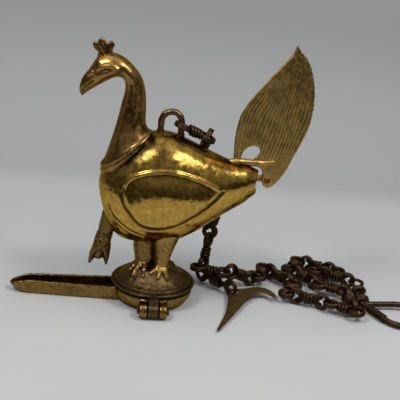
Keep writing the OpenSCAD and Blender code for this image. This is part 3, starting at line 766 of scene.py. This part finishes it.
def make_stage():
    steps = 24
    bend = [[SWEEP_START + SWEEP_RADIUS * math.sin(a), SWEEP_RADIUS * (1 - math.cos(a))]
            for a in np.linspace(0, math.pi / 2, steps)]
    profile = [[FLOOR_FRONT, 0]] + bend + [[bend[-1][0], WALL_TOP]]
    points = [[side * FLOOR_HALF_WIDTH, y, z] for y, z in profile for side in (-1, 1)]
    faces = [[2 * i, 2 * i + 1, 2 * i + 3, 2 * i + 2] for i in range(len(profile) - 1)]
    floor = raw_object("floor", (np.array(points, float), faces))
    # the faces look towards the lamp
    if floor.data.polygons[0].normal.z < 0:
        floor.data.flip_normals()
    floor.data.polygons.foreach_set("use_smooth", np.ones(len(faces), bool))
    floor.data.materials.append(stage_material())


def make_light():
    for name, (azimuth, elevation, distance, width, height, power) in SOFTBOXES.items():
        lamp = bpy.data.lights.new(name, "AREA")
        lamp.shape = "RECTANGLE"
        lamp.size = width * MM
        lamp.size_y = height * MM
        lamp.energy = power
        obj = bpy.data.objects.new(name, lamp)
        at = LIGHT_TARGET + distance * heading((azimuth, elevation))
        obj.matrix_world = look_along(at, LIGHT_TARGET)
        bpy.context.scene.collection.objects.link(obj)
    world = bpy.data.worlds.new("room")
    world.use_nodes = True
    tree = world.node_tree
    split = tree.nodes.new("ShaderNodeSeparateXYZ")
    tree.links.new(tree.nodes.new("ShaderNodeTexCoord").outputs["Generated"], split.inputs[0])
    overhead = ramp(tree, split.outputs[2], 0.1, 0.75)
    colour = mix_rgb(tree, overhead, (ROOM_LOW,) * 3, (ROOM_HIGH,) * 3)
    tree.links.new(colour, tree.nodes["Background"].inputs[0])
    bpy.context.scene.world = world


def heading(angles):
    azimuth, rise = np.radians(angles)
    flat = math.cos(rise)
    return np.array([flat * math.cos(azimuth), flat * math.sin(azimuth), math.sin(rise)])


# Pan, lid and hinge

def pan_profile(inset, top):
    bend = PAN_R - PAN_FOOT_R
    arc = [[PAN_FOOT_R + (bend - inset) * math.sin(a), inset + (PAN_H - 2 - inset) * (1 - math.cos(a))]
           for a in np.linspace(0, math.pi / 2, 14)]
    lip = [[PAN_R - inset, top - 1.8], [PAN_R - inset - RIM_BEVEL * (inset == 0), top]]
    return [[0.01, inset]] + arc + lip + [[0.01, top]]


def trough(inset, lo, hi):
    """The trough as rings along X, drawn in towards its bottom, with a tip that rises and falls."""
    shoulder = TROUGH_REACH - TROUGH_TIP_L
    tip = shoulder + (TROUGH_TIP_L - inset) * np.sin(np.linspace(0, 0.496 * np.pi, 16))
    reach = np.r_[np.linspace(PAN_FOOT_R - 4, shoulder, 16)[:-1], tip]
    along = np.clip((reach - PAN_FOOT_R) / (shoulder - PAN_FOOT_R), 0, 1)
    half = TROUGH_W / 2 + (TROUGH_TIP_W - TROUGH_W) / 2 * along - inset
    end = np.clip((reach - shoulder) / TROUGH_TIP_L, 0, 1)
    half *= np.sqrt(1 - np.clip((reach - shoulder) / (TROUGH_TIP_L - inset), 0, 1) ** 2)
    low = lo + TROUGH_RISE * end
    high = np.maximum(hi - TROUGH_FALL * end * (inset == 0), low + 0.2)
    section = np.array([[1, 1], [0.97, 0.45], [0.9, 0.12], [0.8, 0.0]])
    section = np.vstack([section, section[::-1] * [-1, 1]])
    y = half[:, None] * section[:, 0]
    z = low[:, None] + (high - low)[:, None] * section[:, 1]
    return loft(np.stack([np.broadcast_to(-reach[:, None], y.shape), y, z], -1))


def bar_along_x(section, width, x):
    """A bar along X with its section given in Y and Z."""
    p = np.asarray(section, float)
    return loft(np.array([np.c_[np.full(len(p), x + s * width / 2), p] for s in (-1, 1)]))


def knuckle(width, x):
    a = np.linspace(0, 2 * np.pi, 48, endpoint=False)
    return bar_along_x(np.c_[HINGE_Y + KNUCKLE_R * np.cos(a), HINGE_Z + KNUCKLE_R * np.sin(a)], width, x)


def make_pan():
    knuckle_x = TONGUE_W / 2 + KNUCKLE_GAP + KNUCKLE_W / 2
    stub = [[HINGE_Y, HINGE_Z - KNUCKLE_R * 0.7], [HINGE_Y, HINGE_Z + KNUCKLE_R * 0.6],
            [-PAN_R + PAN_WALL / 2, PAN_H - 2.5], [-PAN_FOOT_R - 4, PAN_WALL * 0.6]]
    solid = [revolve(pan_profile(0, PAN_H)), trough(0, 0, TROUGH_H)]
    for side in (-1, 1):
        solid += [bar_along_x(stub, KNUCKLE_W, side * knuckle_x), knuckle(KNUCKLE_W, side * knuckle_x)]
    hollow = join(revolve(pan_profile(PAN_WALL, PAN_H + 2)), trough(PAN_WALL, PAN_WALL, PAN_H + 2))
    part = melted(join(*solid), 0.6, 3, melted(hollow, 0.6, 2))
    points, faces = hand_made(hand_made(part, 0.25, 12, 1), 0.12, 3, 22)
    points[:, 2] = np.maximum(points[:, 2], 0)
    x, y, z = points.T
    deep = smooth((TROUGH_H + 0.4 - z) / 3)
    narrowing = (TROUGH_W - TROUGH_TIP_W) / 2 / (TROUGH_REACH - TROUGH_TIP_L - PAN_FOOT_R)
    half = TROUGH_W / 2 - PAN_WALL + (x + PAN_FOOT_R) * narrowing
    in_trough = smooth((half + 0.7 - np.abs(y)) / 1.2) * smooth((-x - PAN_FOOT_R - 2) / 6)
    in_pan = smooth((PAN_R - PAN_WALL + 0.5 - np.hypot(x, y)) / 1.5)
    tip = np.clip((-x - TROUGH_REACH + TROUGH_TIP_L) / TROUGH_TIP_L, 0, 1)
    over_floor = smooth((z - 1.6 - TROUGH_RISE * tip) / 0.6)
    # painted shade inside the trough and the pan
    shade_and_grime = 0.55 * deep * np.maximum(in_trough, in_pan) * over_floor
    # painted shadow on the top of the pan's rim in the gap under the lid's edge, and painted shade on the
    # knuckles beside the gaps at the tongue
    shade_and_grime += 0.9 * smooth((z - PAN_H + 2.2) / 0.8) + 0.6 * bump(np.abs(x) - TONGUE_W / 2, 0.8) * (y < -PAN_R)
    piece("oil_pan_cast", (points, faces), "pan", "bronze_patina", BRONZE, "oil_pan", shade_and_grime=shade_and_grime)


def mound_rise(t):
    return t * (0.6 + 0.4 * t)


def mound_z(r):
    """Height of the lid's mound at a radius."""
    t = np.clip((MOUND_FOOT_R - r) / (MOUND_FOOT_R - MOUND_TOP_R), 0, 1)
    foot = LID_Z + LID_T + RING_H
    return foot + (LID_TOP - foot) * mound_rise(t)


def make_lid():
    flange_top = LID_Z + LID_T
    ring_top = flange_top + RING_H
    steps = np.linspace(0, 1, 24)
    sweep = [[r, mound_z(r)] for r in MOUND_FOOT_R + (MOUND_TOP_R - MOUND_FOOT_R) * steps]
    under = [[SPIGOT_R - LID_WALL + (MOUND_TOP_R - SPIGOT_R) * t,
              LID_Z + (LID_TOP - LID_WALL - LID_Z) * mound_rise(t)] for t in steps[::-1]]
    flange = [[SPIGOT_R - LID_WALL, LID_Z - SPIGOT_H], [SPIGOT_R, LID_Z - SPIGOT_H], [SPIGOT_R, LID_Z],
              [LID_R - 1.8, LID_Z], [LID_R, LID_Z + 1.2], [LID_R, LID_Z + 2.1], [LID_R - 0.8, flange_top],
              [MOUND_FOOT_R + 3.6, flange_top - 0.9], [MOUND_FOOT_R + 2.9, flange_top + 0.4],
              [MOUND_FOOT_R + 2.3, ring_top - 0.2], [MOUND_FOOT_R + 1.5, ring_top + 0.2],
              [MOUND_FOOT_R + 0.5, ring_top - 0.5]]
    profile = flange + sweep + [[0.01, LID_TOP], [0.01, LID_TOP - LID_WALL]] + under
    tongue = [[HINGE_Y, HINGE_Z - KNUCKLE_R * 0.6], [HINGE_Y - KNUCKLE_R * 0.6, HINGE_Z + KNUCKLE_R * 0.5],
              [HINGE_Y - 1, LID_Z + LID_T * 0.6], [-LID_R + 1.6, flange_top - 0.3],
              [-LID_R + 1.6, LID_Z + 0.2], [HINGE_Y + KNUCKLE_R * 0.6, HINGE_Z + KNUCKLE_R * 0.4]]
    part = melted(join(revolve(profile), bar_along_x(tongue, TONGUE_W, 0), knuckle(TONGUE_W, 0)), 0.5, 2)
    part = hand_made(hand_made(part, 0.3, 8, 2), 0.14, 2.6, 21)
    r = np.hypot(part[0][:, 0], part[0][:, 1])
    z = part[0][:, 2]
    # painted shadow on the lid's lower edge and spigot, where it sits over the pan's rim
    shade_and_grime = 0.9 * smooth((LID_Z + 1.3 - z) / 0.6) * (r < LID_R + 0.5)
    # painted shade in the creases round the foot of the mound
    creases = bump(r - MOUND_FOOT_R - 3.5, 0.7) + 0.7 * bump(r - MOUND_FOOT_R - 0.3, 0.7)
    shade_and_grime += 0.6 * creases * (z > LID_Z + 1)
    piece("lid_cast", part, "bird", "bronze_patina", LID_BRONZE, "lid", shade_and_grime=shade_and_grime)


# Bird

def body_part():
    line = spline(BODY_STATIONS, BODY_STEPS)
    a = np.arange(BODY_SIDES) * 2 * np.pi / BODY_SIDES
    end = BODY_STATIONS[-1][0]

    def skin(rows, wall):
        x, lo, hi, half = (rows[:, k][:, None] for k in range(4))
        scoop = MOUTH_SCOOP * np.abs(np.sin(a)) ** 1.5 * smooth((x - end + MOUTH_FADE) / MOUTH_FADE)
        tall = (hi - lo) / 2 - wall
        return np.stack([x - scoop, (half - wall) * np.sin(a), (lo + hi) / 2 + tall * np.cos(a)], -1)

    outer = skin(line, 0)
    inner = skin(line[line[:, 0] > CAVITY_FRONT][::-4], BODY_WALL)
    part = loft(np.concatenate([outer, inner]))
    p = part[0]
    flank = p[:, [0, 2]]
    is_outer = np.arange(len(p)) < outer.shape[0] * BODY_SIDES
    top, foot = spline(WING_TOP, 8), spline(WING_FOOT, 8)
    outline = np.vstack([top, foot[1:-1]])
    within = inside(flank, outline)
    flat_side = smooth(np.abs(p[:, 1]) / 10) * is_outer
    # a crisp ridge over the wing, which swells from it slowly and ends at its foot in a groove
    over, under = near_line(flank, top), near_line(flank, foot)
    span = smooth((flank[:, 0] - top[0, 0] + 1) / 3) * smooth((top[-1, 0] - flank[:, 0] + 2) / 12)
    wing = np.where(within, WING_H * smooth(under / WING_EDGE) * smooth(over / WING_SWELL), 0)
    groove = bump(under, 0.95)
    front = near_line(flank, spline(WING_FRONT, 8))
    height = wing + 1.4 * bump(over, 1.15) * span - 0.9 * groove - 0.75 * bump(front, 0.8)
    height += 0.6 * bump(front - 1.6, 1.2) * (flank[:, 1] > 0)
    height *= flat_side
    height += is_outer * 0.16 * ripple(p, 14, 3)
    # painted shade under the ridge over the wing, and in the grooves at the wing's foot and in front of it
    shade_and_grime = 0.3 * within * bump(over - 3, 2) * span + 0.7 * groove + 0.6 * bump(front, 0.7)
    # the top of the body is darker: partly brown tarnish, partly painted shade that dims the reflection on
    # the upper body
    top_tarnish_and_shade = smooth((p[:, 2] - 115) / 13) * (0.6 + 0.4 * smooth(0.5 + 0.9 * ripple(p, 9, 13)))
    # painted shade along the seam with the neck and on the rump under the tail
    neck_seam_shade = bump(near_line(flank, np.array(NECK_SEAM)), 3.5)
    rump_shade = smooth((p[:, 0] - 36) / 16) * smooth((p[:, 2] - 116) / 6)
    shade_and_grime = shade_and_grime * flat_side + (0.7 * top_tarnish_and_shade + 0.45 * neck_seam_shade + 0.35 * rump_shade) * is_outer
    return raised(part, height), shade_and_grime


def neck_part():
    line = spline(NECK_STATIONS, NECK_STEPS)
    n = NECK_SIDES
    a = np.arange(n) * 2 * np.pi / n
    front = np.c_[line[:, 0], np.zeros(len(line)), line[:, 1]]
    back = np.c_[line[:, 2], np.zeros(len(line)), line[:, 3]]
    mid, half = (front + back) / 2, (back - front) / 2
    rings = mid[:, None] + half[:, None] * np.cos(a)[None, :, None]
    rings[:, :, 1] += line[:, 4][:, None] * np.sin(a)
    part = loft(rings)
    p = part[0]
    station = np.append(np.repeat(np.arange(len(line)) / NECK_STEPS, n), [0, len(NECK_STATIONS) - 1])
    side = p[:, [0, 2]]
    facing = smooth((np.abs(p[:, 1]) / np.append(np.repeat(line[:, 4], n), [1, 1]) - 0.25) / 0.4)
    angle = np.append(np.tile(a, len(line)), [0, 0])
    ahead = smooth((0.75 - np.cos(angle)) / 0.5)
    height = ahead * sum(h * bump(station - at, 0.09) for at, h in COLLAR_BEADS)
    height -= 0.25 * ahead * bump(station - COLLAR_MID, 0.14)
    flutes = smooth((station - 2) / 1.5) * smooth((8 - station) / 1.5)
    height += 0.3 * flutes * np.cos(NECK_FLUTES * angle + 0.6)
    along = side[:, 0] - EYE[0]
    eye = np.hypot(along / 3, side[:, 1] - EYE[1] - 0.3 * along)
    lid_line = bump(eye - 1.25, 0.32)
    face = 0.35 * bump(eye, 0.9) - 0.4 * lid_line
    face += 1.5 * bump(near_line(side, spline(BROW, 8)), 1.5)
    face += 0.9 * bump(np.hypot(side[:, 0] - FOREHEAD[0], side[:, 1] - FOREHEAD[1]), 2.6)
    face += 0.3 * bump(near_line(side, spline(CHEEK, 8)), 1.6)
    face += 1.2 * bump(near_line(side, np.array(NOSTRIL)), 1.1)
    beak = sum(bump(near_line(side, spline(groove, 8)), 0.6) for groove in BEAK_LINES)
    height = height + (face - 0.55 * beak) * facing
    height += 0.12 * ripple(p, 9, 4)
    # painted shade in the groove round the eye and in the beak's grooves
    shade_and_grime = (0.6 * lid_line + 0.65 * beak) * facing
    # painted shade in the groove between the collar's beads and just above the upper bead
    shade_and_grime += 0.35 * bump(station - COLLAR_MID, 0.1) + 0.5 * bump(station - COLLAR_BEADS[1][0] - 0.25, 0.12)
    # painted shade on a band above the collar, dimming the reflection on the neck's foot
    shade_and_grime += 0.35 * bump(station - COLLAR_BEADS[1][0] - 0.7, 0.5)
    return raised(part, height), shade_and_grime


def upright(part):
    """A plate made in XY stood up in the XZ plane."""
    p = part[0]
    return np.c_[p[:, 0], -p[:, 2], p[:, 1]], part[1]


def make_crest():
    outline = spline(CREST_OUTLINE, 6, closed=True)

    def folds(p):
        return sum(bump(near_line(p, spline(line, 6)), 0.8) for line in CREST_FOLDS)

    def dents(p):
        return 0.5 * folds(p) + 0.25 * ripple(np.c_[p, np.zeros(len(p))], 2.5, 12)

    part = upright(plate(outline, 0.5, CREST_T / 2, 1.0, dents))
    # painted shade in the folds between the lobes and up their middles
    shade_and_grime = 0.4 * folds(part[0][:, [0, 2]])
    piece("crest_cast", part, "bird", "bronze_patina", NECK_BRASS, "crest", shade_and_grime=shade_and_grime)


def leg_part(thigh, knee, ankle, radii, toes):
    """A thick leg whose toes drape over the edge of the mound."""
    thigh, knee, ankle = (np.array(v, float) for v in (thigh, knee, ankle))
    parts = [ball_hull(thigh + [0, 0, 3], radii[0], knee, radii[1]),
             ball_hull(knee, radii[1], ankle, radii[2])]
    for x, y in toes:
        end = np.array([x, y, mound_z(math.hypot(x, y)) + 0.4])
        bend = ankle * 0.45 + end * 0.55
        bend[2] = mound_z(math.hypot(bend[0], bend[1])) + 1.2
        parts += [ball_hull(ankle - [0, 0, 1.4], 0.7 * radii[2], bend, 2.7), ball_hull(bend, 2.7, end, 1.8)]
    points, faces = melted(join(*parts), 0.55, 12)
    lid = mound_z(np.hypot(points[:, 0], points[:, 1]))
    points[:, 2] = np.maximum(points[:, 2], lid - 0.4)
    return hand_made(hand_made((points, faces), 0.3, 6, 5), 0.14, 2.2, 23)


def make_spout():
    parts = [ball_hull([x, 0, z], r, [end_x, 0, end_z], end_r)
             for x, z, r, end_x, end_z, end_r in SPOUT_LIMBS]
    for side in (-1, 1):
        parts += [ball_hull([-48.6, side * 5.8, 50.4], 1.7, [-50.2, side * 5.2, 49], 1.5),
                  ball_hull([-46, side * 6.6, 53.4], 1, [-51.4, side * 4.6, 52.2], 0.9)]
    part = melted(join(*parts), 0.5, 8)
    flank = part[0][:, [0, 2]]
    cut = sum(bump(near_line(flank, spline(groove, 6)), 0.7) for groove in SPOUT_GROOVES)
    collar = bump(near_line(flank, np.array(SPOUT_COLLAR)), 0.9)
    part = raised(part, 0.6 * collar - 0.35 * cut + 0.35 * ripple(part[0], 6, 6))
    # the whole spout a step darker, and painted shade in its grooves
    shade_and_grime = 0.3 + 0.45 * cut
    piece("drip_spout_cast", part, "bird", "bronze_patina", BRONZE, "drip_spout", gain=6.0, shade_and_grime=shade_and_grime)


def tail_outline():
    right = spline(TAIL_RIGHT, 20)
    along = np.cumsum(np.r_[0, np.linalg.norm(np.diff(right, axis=0), axis=1)])
    saw = (along / along[-1] * TAIL_TEETH) % 1
    across = np.gradient(right, axis=0)
    across = np.c_[across[:, 1], -across[:, 0]] / np.linalg.norm(across, axis=1)[:, None]
    right = right + across * (0.75 * saw * smooth(along / 8) * smooth((along[-1] - along) / 12))[:, None]
    return np.vstack([spline(TAIL_LEFT, 14)[:-1], right[:-1], spline(TAIL_FOOT, 8)[:-1]])


def make_tail():
    left, right = spline(TAIL_LEFT, 10), spline(TAIL_RIGHT, 10)[::-1]

    def lines(p):
        z = np.clip(p[:, 1], *TAIL_LINE_Z)
        a = np.interp(z, left[:, 1], left[:, 0])
        b = np.interp(z, right[:, 1], right[:, 0])
        u = (p[:, 0] - a) / np.maximum(b - a, 1)
        wander = 0.012 * np.sin(p[:, 1] / 9 + 11 * u)
        groove = np.abs(np.sin(np.pi * TAIL_LINES * (u + wander))) ** 0.6
        return (1 - groove) * smooth((p[:, 1] - 112) / 18)

    def relief(p):
        return 0.42 * lines(p)

    gap = spline(TAIL_GAP, 8, closed=True)
    leaf = upright(plate(tail_outline(), 0.55, TAIL_T / 2, 1.1, relief, [gap]))
    bar = spline(TAIL_BAR, 8)
    rod = hand_made(tube(np.c_[bar[:, 0], np.zeros(len(bar)), bar[:, 1]], bar[:, 2], 24), 0.3, 5, 9)
    part = join(leaf, rod)
    part[0][:, 1] += 0.2 * ripple(part[0], 30, 7)
    # painted shade in the grooves of the leaf
    shade_and_grime = 0.75 * lines(leaf[0][:, [0, 2]]) ** 2
    shade_and_grime = np.r_[shade_and_grime, np.zeros(len(rod[0]))]
    piece("tail_fan_cast", part, "bird", "bronze_patina", TAIL_BRASS, "tail_fan", shade_and_grime=shade_and_grime)


def make_tail_socket():
    end = BODY_STATIONS[-1][0]
    a = np.linspace(0, 2 * np.pi, 64, endpoint=False)
    rows = []
    for x, r in PLUG_RINGS:
        rows.append(np.c_[np.full(len(a), x), r * np.sin(a), PLUG_Z + r * np.cos(a)])
    lug_y = TAIL_T / 2 + 0.1 + LUG_T / 2
    arm = ball_hull([end - 5, lug_y, LUG_AT[1] - 1], 3, [LUG_AT[0] - 3, lug_y, LUG_AT[1]], 2.4)
    cheek = revolve([[0.01, -LUG_T / 2 + 0.1], [LUG_R - 0.6, -LUG_T / 2 + 0.1], [LUG_R, -LUG_T / 4],
                     [LUG_R, LUG_T / 4], [LUG_R - 0.6, LUG_T / 2], [0.01, LUG_T / 2]], 48)
    cheek = np.c_[cheek[0][:, 0] + LUG_AT[0], cheek[0][:, 2] + lug_y, cheek[0][:, 1] + LUG_AT[1]], cheek[1]
    part = melted(join(loft(np.array(rows)), arm, cheek), 0.45, 3)
    piece("tail_socket_cast", part, "bird", "polished_brass", NECK_BRASS, "tail_socket")


def make_bail():
    arch = [[BAIL_MID_X + BAIL_R * math.cos(a), 0, BAIL_ARCH_Z + BAIL_R * math.sin(a)]
            for a in np.linspace(math.pi, 0, 30)]
    foot = [[arch[0][0], 0, z] for z in np.linspace(BAIL_FOOT_Z, BAIL_ARCH_Z - 1, 9)]
    other = [[arch[-1][0], 0, z] for z in np.linspace(BAIL_ARCH_Z - 1, BAIL_FOOT_Z - 1.6, 9)]
    path = np.array(foot + arch + other)
    share = np.linspace(0, 1, len(path))
    feet = bump(share, 0.06) + bump(share - 1, 0.06)
    radius = BAIL_D / 2 * (1 + 0.05 * np.sin(share * 40) + 0.3 * feet)
    part = hand_made(tube(path, radius, 24), 0.25, 4, 8)
    piece("bail_cast", part, "bird", "dark_bronze", DARK_BRONZE, "bail")


def make_bird():
    body, shade_and_grime = body_part()
    piece("bird_body_cast", body, "bird", "polished_brass", BRASS, "bird_body", gain=5.0, shade_and_grime=shade_and_grime)
    neck, shade_and_grime = neck_part()
    piece("neck_head_cast", neck, "bird", "bronze_patina", NECK_BRASS, "neck_head", gain=4.0, shade_and_grime=shade_and_grime)
    make_crest()
    piece("near_leg_cast", leg_part(*NEAR_LEG), "bird", "polished_brass", LEG_BRASS, "near_leg", gain=0.5)
    # the far leg takes the darker bronze, not the near leg's brass: painted shade for the leg that stands in
    # shadow
    piece("far_leg_cast", leg_part(*FAR_LEG), "bird", "polished_brass", BRONZE, "far_leg", gain=0.3)
    make_spout()
    make_tail()
    make_tail_socket()
    make_bail()


# Chain

def flat_normal(d):
    return unit(np.cross(np.cross(d, UP), d))


def hook_way(before, d, n):
    u = unit(np.cross(before[2], n))
    return -u if u @ (d + before[1]) < 0 else u


def far_eye(link):
    return link[0] + EYE_PITCH * link[1]


def chain_frames():
    """Each link's frame: the middle of its near eye, its heading and the normal of its plane."""
    d = heading(LAY[0])
    frames = [(CHAIN_START, d, flat_normal(d))]
    for i, angles in enumerate(LAY[1:], 1):
        before = frames[-1]
        d = heading(angles)
        if i < HANGING_LINKS:
            n = unit(np.cross(d, before[2]))
        else:
            n = UP if i % 2 == 0 else unit(np.cross(d, UP))
        frames.append((far_eye(before) + HOOK * hook_way(before, d, n), d, n))
    return frames


def eye_turns(x, lo, hi, spread):
    """An eye of almost two turns, from one angle to the other, with the turns side by side."""
    a = np.radians(np.linspace(lo, hi, 26))
    rise = np.linspace(-spread, spread, len(a))
    return np.c_[x + EYE_R * np.cos(a), EYE_R * np.sin(a), rise].tolist()


def wire_end(x, side):
    """The end of the wire, laid in an eye on the side of the link's neck."""
    a = np.linspace(-END_SWEEP, END_SWEEP, 13)
    rise = np.linspace(-0.5, 0.5, len(a)) * TURN_SPREAD
    return tube(np.c_[x + side * END_R * np.cos(a), END_R * np.sin(a), rise], 0.45 * TURN_D, 12)


def winding(x, strand, turns, seed):
    """A wound wire tail round two strands that lie side by side."""
    y, z = strand + WIND_D / 2, 0.62 * strand + WIND_D / 2
    k = np.linspace(0, turns, int(turns * 22))
    a = 2 * np.pi * (k + 0.13 * seed)
    loose = 1 + 0.05 * np.sin(1.7 * a + seed)
    along = x + WIND_PITCH * (k - turns / 2) * (1 + 0.04 * np.sin(a + seed))
    path = np.c_[along, y * np.cos(a) * loose, z * np.sin(a) * loose]
    return tube(path, WIND_D / 2 * (1 + 0.04 * np.sin(2.3 * a + seed)), 12)


def wire_link(pitch, seed, half=TURN_SPREAD):
    """One bent wire with an eye of two turns at each end, its two strands bound at the neck."""
    strand = [[x, STRAND_Y, (2 * t - 1) * half] for x, t in
              zip(np.linspace(EYE_R + 1.4, pitch - EYE_R - 1.4, 5), np.linspace(0, 1, 5))]
    back = [[x, -y, -z] for x, y, z in strand]
    wire = eye_turns(0, EYE_OPEN, 720 - EYE_OPEN, half) + back
    wire += eye_turns(pitch, EYE_OPEN - 180, 540 - EYE_OPEN, half) + strand[::-1]
    path = spline(wire, 4, closed=True)
    share = np.arange(len(path)) / len(path) * 2 * np.pi
    radius = TURN_D / 2 * (0.99 + 0.04 * np.sin(7 * share + seed) + 0.03 * np.sin(17 * share + 2 * seed))
    ring = hand_made(tube(path, radius, 12, closed=True), 0.2, 3.5, seed)
    wound = hand_made(winding(pitch / 2, NECK_HALF_W, WIND_TURNS, seed), 0.14, 2.5, seed + 0.5)
    ends = hand_made(join(wire_end(0, 1), wire_end(pitch, -1)), 0.2, 3.5, seed + 0.8)
    return join(ring, wound, ends)


def make_chain():
    frames = chain_frames()
    for i, at in enumerate(frames, 1):
        name = f"link_{i:02d}"
        piece(name + "_wire", placed(wire_link(EYE_PITCH, i), at), name, "wire_patina", WIRE, name)
    make_pick(frames[HANGING_LINKS - 1])
    make_loop(frames[-1])


def make_pick(last_hanging):
    d = heading((PICK_AZIMUTH, 0))
    near = far_eye(last_hanging) - HOOK * UP
    at = (near, d, unit(np.cross(d, UP)))
    link = placed(wire_link(PICK_PITCH, 31, PICK_SPREAD), at)
    piece("pick_link_wire", link, "pick_link", "wire_patina", WIRE, "pick_link")
    hole = near + (PICK_PITCH + math.sqrt(EYE_R ** 2 - PICK_DROP ** 2)) * d - PICK_DROP * UP
    outline = spline(PICK_OUTLINE, 8, closed=True)
    a = np.linspace(0, 2 * np.pi, 40, endpoint=False)
    rim = PICK_HOLE_R * np.c_[np.cos(a), np.sin(a)]

    def dents(p):
        return 0.18 * np.sin(p[:, 0] / 3.1 + p[:, 1] / 4.7) + 0.1

    points, faces = plate(outline, 0.7, PICK_T / 2, 0.8, dents, [rim])
    turn = np.array(Matrix.Rotation(PICK_TIP, 3, "X"))
    laid = points @ turn.T + hole, faces
    piece("wick_pick_plate", laid, "wick_pick", "bronze_patina", DARK_BRONZE, "wick_pick")


def make_loop(last):
    d = heading(LOOP_HEADING)
    n = flat_normal(d)
    at = (far_eye(last) + HOOK * hook_way(last, d, n), d, n)
    half_open = math.asin(LOOP_R / LOOP_L)
    side_l = math.sqrt(LOOP_L ** 2 - LOOP_R ** 2)
    fork = np.array([SHANK_L, 0, 0])

    def way(angle):
        return np.array([math.cos(angle), math.sin(angle), 0])

    strand = [[x, LOOP_STRAND_Y, 0] for x in np.linspace(EYE_R + 2, SHANK_L - 1, 9)]
    back = [[x, -y, z] for x, y, z in strand]
    near_side = [fork + s * way(LOOP_TURN - half_open) for s in np.linspace(5, side_l - 2, 6)]
    far_side = [fork + s * way(LOOP_TURN + half_open) for s in np.linspace(side_l - 2, 5, 6)]
    middle = fork + LOOP_L * way(LOOP_TURN)
    sweep = math.pi / 2 + half_open
    bend = [middle + LOOP_R * way(a) for a in np.linspace(LOOP_TURN - sweep, LOOP_TURN + sweep, 20)]
    wire = eye_turns(0, LOOP_EYE_OPEN, 360 - LOOP_EYE_OPEN, 0) + back
    wire += near_side + bend + far_side + strand[::-1]
    path = spline([list(p) for p in wire], 5, closed=True)
    reach = np.linalg.norm(path, axis=1)
    radius = WIRE_D / 2 + (LOOP_D - WIRE_D) / 2 * smooth((reach - 9) / 8)
    ring = hand_made(tube(path, radius, 16, closed=True), 0.22, 4, 40)
    bound = hand_made(winding(SHANK_L - SHANK_WIND, LOOP_NECK_HALF_W, 3, 3), 0.15, 2.5, 41)
    neck = hand_made(winding(NECK_WIND_X, LOOP_NECK_HALF_W, 2, 5), 0.15, 2.5, 42)
    k = np.linspace(0, 1, WRAP_TURNS * 18)
    a = 2 * np.pi * WRAP_TURNS * k
    run = fork + np.outer(6 + k * (side_l - 6), way(LOOP_TURN - half_open))
    lean = np.array([-math.sin(LOOP_TURN - half_open), math.cos(LOOP_TURN - half_open), 0])
    round_bar = np.outer(np.cos(a), lean) + np.outer(np.sin(a), UP)
    wrap = tube(run + (LOOP_D / 2 + 0.35) * round_bar, WRAP_D / 2, 10)
    part = placed(join(ring, bound, neck, wrap), at)
    piece("hanging_loop_wire", part, "hanging_loop", "wire_patina", WIRE, "hanging_loop")


def dress_node(node, material):
    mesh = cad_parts[node].data
    mesh.materials.clear()
    mesh.materials.append(material)


make_camera()
make_stage()
make_light()
make_pan()
make_lid()
make_bird()
make_chain()
dress_node("hinge_pin", DARK_BRONZE)
dress_node("tail_rivet", BRASS)

bpy.context.scene.view_settings.view_transform = "Standard"
